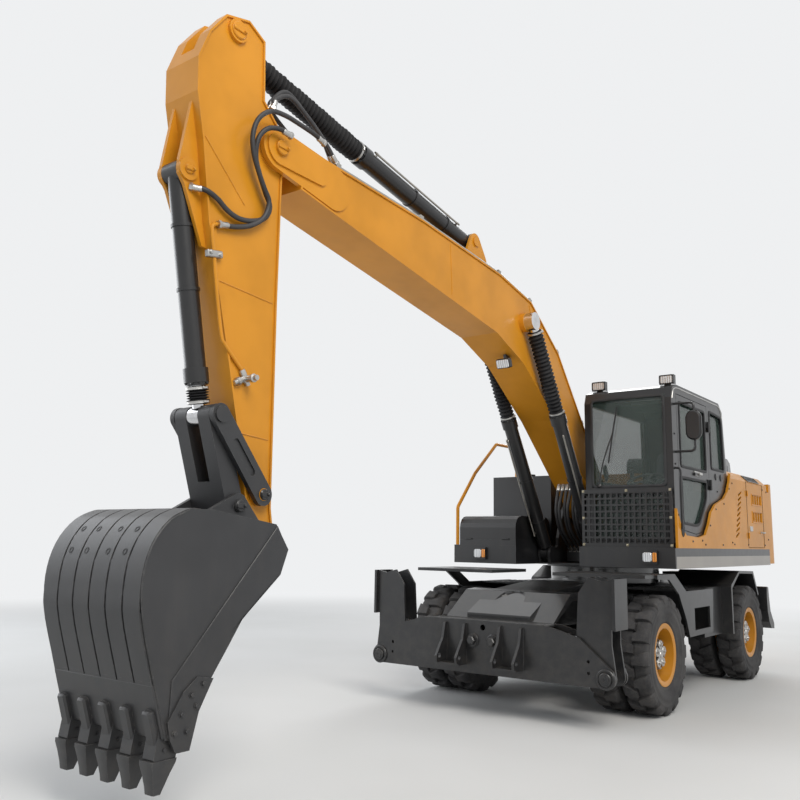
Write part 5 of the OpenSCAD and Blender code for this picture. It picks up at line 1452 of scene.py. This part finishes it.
@dataclass
class Body(Assembly):
    """Grilles, handles, bolts and a dark plate painted as shade behind the slots, on the upper structure's
    panels.
    """

    half: float = 1.250

    def lattice(self, low: Sequence[float], high: Sequence[float], pitch: float, bar: float) -> Form:
        """A woven screen of flat bars between two corners, one set of each direction, pitch apart."""
        low, high = np.asarray(low, float), np.asarray(high, float)
        size = high - low
        upright = slab(np.array([[0, 0], [bar, 0], [bar, size[1]], [0, size[1]]]), bar)
        level = slab(np.array([[0, 0], [size[0], 0], [size[0], bar], [0, bar]]), bar)
        x, y = (np.arange(low[k], high[k] - bar, pitch) for k in (0, 1))
        return Form.sum([upright.copies(np.column_stack([x, 0 * x + low[1], 0 * x])),
                         level.copies(np.column_stack([0 * y + low[0], y, 0 * y + 0.6 * bar]))])

    def handle(self, y: float, z: float, x: float) -> Form:
        """A bow handle on a left-facing plane, on two round feet."""
        bow = rope([(x, y - 0.05, z), (x + 0.028, y - 0.05, z), (x + 0.034, y - 0.02, z),
                    (x + 0.034, y + 0.02, z), (x + 0.028, y + 0.05, z), (x, y + 0.05, z)], 0.007, 8, 5)
        feet = [on_left(lathe([(0.014, 0), (0.014, 0.006), (0, 0.007)], 12).moved((y + s * 0.05, z, 0)), x)
                for s in (1, -1)]
        return Form.sum([bow, *feet])

    def side_door(self) -> None:
        """The side door's screens, latch and handle."""
        screens = [on_left(self.lattice((1.552, z), (1.964, z + 0.126), 0.011, 0.0028), self.half - 0.013)
                   for z in (1.802, 2.012)]
        self.add("door_screens", Form.sum(screens), "amber_paint", "side_door")
        box = np.array([[1.535, 0], [1.980, 0], [1.980, 0.150], [1.535, 0.150]])
        frames = [on_left(frame_strip(soften(box + [0, z], 0.02), 0.014, 0.007), self.half - 0.001)
                  for z in (1.790, 2.000)]
        self.add("screen_frames", Form.sum(frames), "amber_paint", "side_door")
        plate = slab(rounded(0.12, 0.06, 0.012) + [1.46, 1.72], 0.010, 0.004)
        latch = Form.sum([on_left(plate, self.half - 0.001), self.handle(1.94, 1.68, self.half)])
        self.add("side_door_latch", latch, "clamp", "side_door")

    def panels(self) -> None:
        """The dark plate behind the slots, which paints the shade of the space behind them, the shoulder's
        screen, and bolts along the edges.
        """
        # A dark sheet behind the slots: painted shade of the dark space behind them.
        back = on_left(slab(np.array([[0.76, 1.53], [1.30, 1.53], [1.30, 2.24], [0.76, 2.24]]), 0.003),
                       self.half - 0.026)
        self.add("slot_backing", back, "black_paint", "upper_structure")
        flat = Form.sum([self.lattice((-0.26, -0.040), (0.26, 0.040), 0.011, 0.0028),
                         frame_strip(rounded(0.55, 0.105, 0.020), 0.016, 0.008)])
        shoulder = flat.framed((1.2025, 1.69, 2.3225), (0, 1, 0), (1, 0, 1))
        self.add("shoulder_screen", shoulder, "black_paint", "upper_structure")
        bolt = hex_bolt(0.009, 0.007)
        spots = [(-1.09, 1.80), (-0.96, 1.80), (-0.70, 1.55), (-0.40, 1.56), (-0.12, 1.72), (0.10, 1.90),
                 (0.40, 1.97), (0.62, 2.15), (0.66, 1.55), (0.30, 1.52), (-0.30, 1.52), (0.74, 1.53),
                 (0.74, 2.22), (1.31, 1.53), (2.06, 1.53), (2.06, 2.22), (2.24, 1.60), (2.24, 2.20)]
        bolts = [on_left(bolt.moved((y, z, 0)), self.half - 0.0005) for y, z in spots]
        self.add("panel_bolts", Form.sum(bolts), "black_paint", "upper_structure")
        seam = Form.sum([rope([(self.half + 0.0005, y, z) for z in (1.50, 2.28)], 0.003, 6, 2)
                         for y in (1.318, 2.034)])
        self.add("panel_seams", seam, "seal", "upper_structure")
        t = np.linspace(0, 2 * np.pi, 28, endpoint=False)
        oval = np.stack([-0.985 + 0.046 * np.cos(t), 1.676 + 0.088 * np.sin(t)], -1)
        self.add("horn_oval", on_left(slab(oval, 0.006, 0.003), self.half - 0.0005), "seal",
                 "upper_structure")

    def hood(self) -> None:
        """Slats along the hood's left side and a handle on its front."""
        slat = slab(np.array([[-0.028, 0], [0.028, 0], [0.028, 0.11], [-0.028, 0.11]]), 0.010, 0.008)
        rows = slat.copies(np.column_stack([np.linspace(1.38, 1.94, 9), np.full(9, 2.43), np.zeros(9)]))
        self.add("hood_slats", on_left(rows, 0.868), "gloss_black", "engine_hood")
        bow = ((1.289, 2.44), (1.262, 2.45), (1.262, 2.50), (1.289, 2.51))
        bows = [rope([(x, y, z) for y, z in bow], 0.007, 8, 5) for x in (0.10, 0.55)]
        self.add("hood_handle", Form.sum(bows), "clamp", "engine_hood")

    def guard(self) -> None:
        """Bolts with square washers at the guard's corners and middles."""
        bolt = Form.sum([slab(rounded(0.026, 0.026, 0.005), 0.003, 0.001),
                         hex_bolt(0.008, 0.008).moved((0, 0, 0.004))])
        spots = [(x, z) for x in (0.293, 0.755, 1.198) for z in (1.503, 2.040)]
        spots += [(0.293, 1.77), (1.198, 1.77)]
        form = Form.sum(on_front(bolt.moved((x, z, 0)), -1.160) for x, z in spots)
        self.add("guard_bolts", form, "zinc", "upper_structure")

    def build(self) -> None:
        """Everything on the panels."""
        self.side_door()
        self.panels()
        self.hood()
        self.guard()


@dataclass
class Undercarriage(Assembly):
    """Pin retainers, bolts and weld beads on the beam, and tread dots on the steps."""

    beam: float = -2.660

    def build(self) -> None:
        """Everything on the undercarriage's own body."""
        forms = []
        rings = lathe([(0.082, 0), (0.082, 0.010), (0.076, 0.016), (0.063, 0.016), (0.060, 0.010),
                       (0.056, 0.010), (0.053, 0.024), (0.046, 0.030), (0.036, 0.030), (0.033, 0.036),
                       (0.012, 0.036), (0.010, 0.032), (0, 0.032)], 40)
        nut = Form.sum([lathe([(0.062, 0), (0.062, 0.008), (0.057, 0.012), (0, 0.012)], 36),
                        hex_bolt(0.040, 0.034).moved((0, 0, 0.012))])
        for s in (1, -1):
            forms += [on_front(rings.moved((s * 1.150, 0.435, 0)), self.beam),
                      on_front(nut.moved((s * 0.103, 0.645, 0)), self.beam)]
        self.add("beam_keepers", Form.sum(forms), "coal_paint", "undercarriage")
        beads = [rope([(x, self.beam, z) for z in (0.45, 0.62, 0.785)], 0.005, 6, 4)
                 for x in (0.170, 0.194, 0.380, 0.404)]
        crest = [(x, self.beam + 0.012, z) for x, z in ((-0.60, 0.815), (0.0, 0.816), (0.60, 0.815))]
        beads = [Form.sum(beads).both(0.0), rope(crest, 0.006, 6, 6)]
        self.add("beam_welds", Form.sum(beads), "coal_paint", "undercarriage")
        dots = slab(rounded(0.040, 0.012, 0.005), 0.004, 0.002)
        x, y = np.meshgrid(np.arange(0.56, 1.19, 0.075), np.arange(-0.62, -0.13, 0.06))
        left = dots.copies(np.column_stack([x.ravel(), y.ravel(), 0 * x.ravel() + 1.070]))
        self.add("step_treads", left.both(0.0), "coal_paint", "undercarriage")


@dataclass
class Digging(Assembly):
    """Trim of the boom, the arm and the bucket: welds, bolts, tooth pins and pin keepers."""

    half: float = 0.450
    back: tuple = ((-6.190, 1.658), (-6.270, 1.655), (-6.390, 1.600), (-6.480, 1.500), (-6.535, 1.370),
                   (-6.552, 1.210), (-6.525, 1.040), (-6.443, 0.770))

    def keeper(self, x: float, y: float, z: float, radius: float) -> Form:
        """A pin's end: a chamfered disc with a keeper bar and its bolt, facing left."""
        end = lathe([(radius, 0), (radius, 0.006), (radius - 0.006, 0.012), (0, 0.012)], 30)
        bar = slab(rounded(radius * 1.9, 0.030, 0.008), 0.010, 0.003).moved((0, 0, 0.012))
        bolt = hex_bolt(0.011, 0.010).moved((radius * 0.62, 0, 0.022))
        return on_left(Form.sum([end, bar, bolt]).moved((y, z, 0)), x)

    def both_keepers(self, reach: float, y: float, z: float, radius: float) -> Form:
        """A pair of keepers on both sides of the boom's middle plane."""
        return self.keeper(BOOM_X + reach, y, z, radius).both(BOOM_X)

    def bead(self, points: Sequence[tuple[float, float]], reach: float) -> Form:
        """A weld bead along a line of the side plates, on both sides."""
        return rope([(BOOM_X + reach, y, z) for y, z in points], 0.005, 6, 4).both(BOOM_X)

    def boom(self) -> None:
        """Seams, keepers and the work lamp of the boom."""
        beads = [self.bead([(-3.31, 3.64), (-3.34, 4.10)], 0.189),
                 self.bead([(-1.62, 3.02), (-1.90, 3.88)], 0.189)]
        self.add("boom_welds", Form.sum(beads), "weld", "boom")
        rib = slab(rounded(0.022, 0.330, 0.010), 0.012, 0.004)
        ribs = [rib.framed((BOOM_X + 0.187, -4.862 + d, 4.047), (0, 0.93, -0.37), (1, 0, 0))
                for d in (-0.024, 0.024)]
        self.add("boom_ribs", Form.sum(ribs).both(BOOM_X), "amber_paint", "boom")
        self.add("boom_keepers", self.both_keepers(0.2265, -5.47, 4.14, 0.054), "amber_paint", "boom")
        lamp = slab(rounded(0.150, 0.095, 0.015), 0.050, 0.010)
        lens = slab(rounded(0.130, 0.078, 0.015), 0.006, 0.002)
        stem = slab(rounded(0.030, 0.080, 0.006), 0.040, 0.004)
        spot, look = np.array([BOOM_X + 0.10, -2.24, 3.235]), (0.0, -1.0, -0.35)
        stem = stem.framed(spot + [0, 0.03, 0.045], (1, 0, 0), (0, 0, 1))
        self.add("boom_lamp", Form.sum([lamp.framed(spot, (1, 0, 0), look), stem]), "black_paint", "boom")
        lens = lens.framed(spot + 0.050 * unit(np.array(look)), (1, 0, 0), look)
        self.add("boom_lamp_lens", lens, "lens", "boom")

    def arm(self) -> None:
        """Welds on the arm's flanks, and keepers of its pins."""
        beads = [self.bead([(-6.07, 4.00), (-5.72, 3.66)], 0.149),
                 self.bead([(-5.92, 3.10), (-5.43, 3.06)], 0.149),
                 self.bead([(-5.68, 2.16), (-5.42, 2.14)], 0.149)]
        self.add("arm_welds", Form.sum(beads), "weld", "arm")
        pins = [self.both_keepers(0.1725, -5.86, 4.83, 0.060), self.both_keepers(0.1125, -6.15, 3.76, 0.034)]
        self.add("arm_keepers", Form.sum(pins), "amber_arm", "arm")
        self.add("arm_foot_keepers", self.both_keepers(0.2065, -5.49, 1.78, 0.036), "black_paint", "arm")

    def bucket(self) -> None:
        """Wear strips, lip plate, teeth, side cutter bolts, dark discs painted as the shade in the holes on
        the back, and seam beads.
        """
        path = smooth_path([(BOOM_X, *spot) for spot in self.back], 8)
        strip = np.array([(-0.0685, 0), (0.0685, 0), (0.0685, 0.0045), (0.0665, 0.0066), (-0.0665, 0.0066),
                          (-0.0685, 0.0045)])
        along = unit(np.gradient(path, axis=0))
        outward = np.cross(along, [1.0, 0, 0])
        height = np.interp(path[:, 2], (1.13, 1.22), (0.004, -0.004))[:, None]
        sheet = carry(path + height * outward, strip)
        self.add("bucket_strips", sheet.copies([(0.150 * i - 0.375, 0, 0) for i in range(6)]),
                 "bucket_paint", "bucket")
        normal = (0, -0.955, -0.296)
        lip = slab(rounded(0.896, 0.290, 0.006), 0.013, 0.004)
        lip = lip.framed((BOOM_X, -6.394, 0.617), (1, 0, 0), normal)
        places = [(BOOM_X - self.half + 0.062 + 0.194 * i, 0, 0) for i in range(5)]
        nose = slab(rounded(0.078, 0.220, 0.020), 0.038, 0.012).framed((0, -6.372, 0.520), (1, 0, 0), normal)
        rings = [(0.372, -6.412, -6.258, 0.053), (0.352, -6.412, -6.264, 0.053),
                 (0.300, -6.398, -6.290, 0.044), (0.240, -6.385, -6.318, 0.037),
                 (0.2035, -6.379, -6.338, 0.036)]
        turns = np.stack([np.array([(-w, a, z), (-0.8 * w, a - 0.003, z), (0.8 * w, a - 0.003, z),
                                    (w, a, z), (w, b, z), (-w, b, z)]) for z, a, b, w in rings])
        point = Form.sum([grid(turns[::-1], wrap_v=True).flipped(), fan(turns[0], (0, 0, 1)),
                          fan(turns[-1], (0, 0, -1))])
        teeth = Form.sum([nose, point]).copies(places)
        self.add("bucket_teeth", Form.sum([lip, teeth]), "bucket_paint", "bucket")
        pin = lathe([(0.011, 0), (0.011, 0.006), (0, 0.008)], 12)
        pins = [pin.framed((x + s * 0.045, -6.335, 0.420), (0, 1, 0), (s, 0, 0))
                for x, _, _ in places for s in (1, -1)]
        cutter = [(-6.305, 0.500), (-6.265, 0.590), (-6.205, 0.680), (-6.130, 0.730), (-6.225, 0.500),
                  (-6.170, 0.620)]
        reach = self.half + 0.018
        cut = [on_left(hex_bolt(0.014, 0.012).moved((y, z, 0)), BOOM_X + reach).both(BOOM_X)
               for y, z in cutter]
        self.add("bucket_bolts", Form.sum(pins + cut), "bucket_paint", "bucket")
        # Dark discs on the holes in the back: painted shade inside the holes.
        plug = lathe([(0.019, 0), (0.019, 0.0015), (0.012, 0.002), (0.010, -0.002), (0, -0.002)], 16)
        rows = [np.argmin(np.linalg.norm(path[:, 1:] - spot, axis=1))
                for spot in ((-6.454, 1.544), (-6.526, 1.416))]
        self.add("bucket_plugs", Form.sum(
            plug.framed((x, *(path[k] + 0.0028 * outward[k])[1:]), (1, 0, 0), outward[k]) for k in rows
            for x in (-0.355, -0.205, -0.005, 0.145)), "seal", "bucket")
        edge = [(-5.603, 1.580), (-6.330, 0.764), (-6.338, 0.480), (-6.236, 0.480), (-6.064, 0.758),
                (-5.964, 0.898), (-5.856, 1.057), (-5.572, 1.297), (-5.512, 1.440)]
        plates = on_left(slab(np.array(edge), 0.009, 0.003), BOOM_X + self.half - 0.001).both(BOOM_X)
        self.add("bucket_edge_plates", plates, "bucket_paint", "bucket")
        rim = ((-6.350, 0.50), (-6.44, 0.77), (-6.522, 1.045), (-6.548, 1.215), (-6.531, 1.37),
               (-6.477, 1.497), (-6.388, 1.595), (-6.27, 1.650))
        seam = rope([(BOOM_X + self.half - 0.002, y, z) for y, z in rim], 0.005, 6, 3)
        self.add("bucket_welds", seam.both(BOOM_X), "bucket_paint", "bucket")
        ends = [self.both_keepers(0.2105, -5.42, 1.37, 0.044), self.both_keepers(0.2105, -5.69, 1.70, 0.038)]
        self.add("bucket_keepers", Form.sum(ends), "bucket_paint", "bucket")

    def build(self) -> None:
        """Everything on the digging gear."""
        self.boom()
        self.arm()
        self.bucket()


def main() -> None:
    """Builds the studio, dresses the nodes and adds every sub-assembly in order."""
    logging.basicConfig(level=logging.INFO, format="%(message)s")
    Studio().build()
    finishes = Livery().dress()
    for assembly in (Tyres, Wheels, Rams, Lines, Cab, Body, Undercarriage, Digging):
        log.info("building %s", assembly.__name__)
        assembly(finishes).build()
    boxes = {"cad": cad_bounds, "visual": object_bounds()}
    {name: [[float(v) for v in corner] for corner in box] for name, box in boxes.items()}


if __name__ == "__main__":
    main()
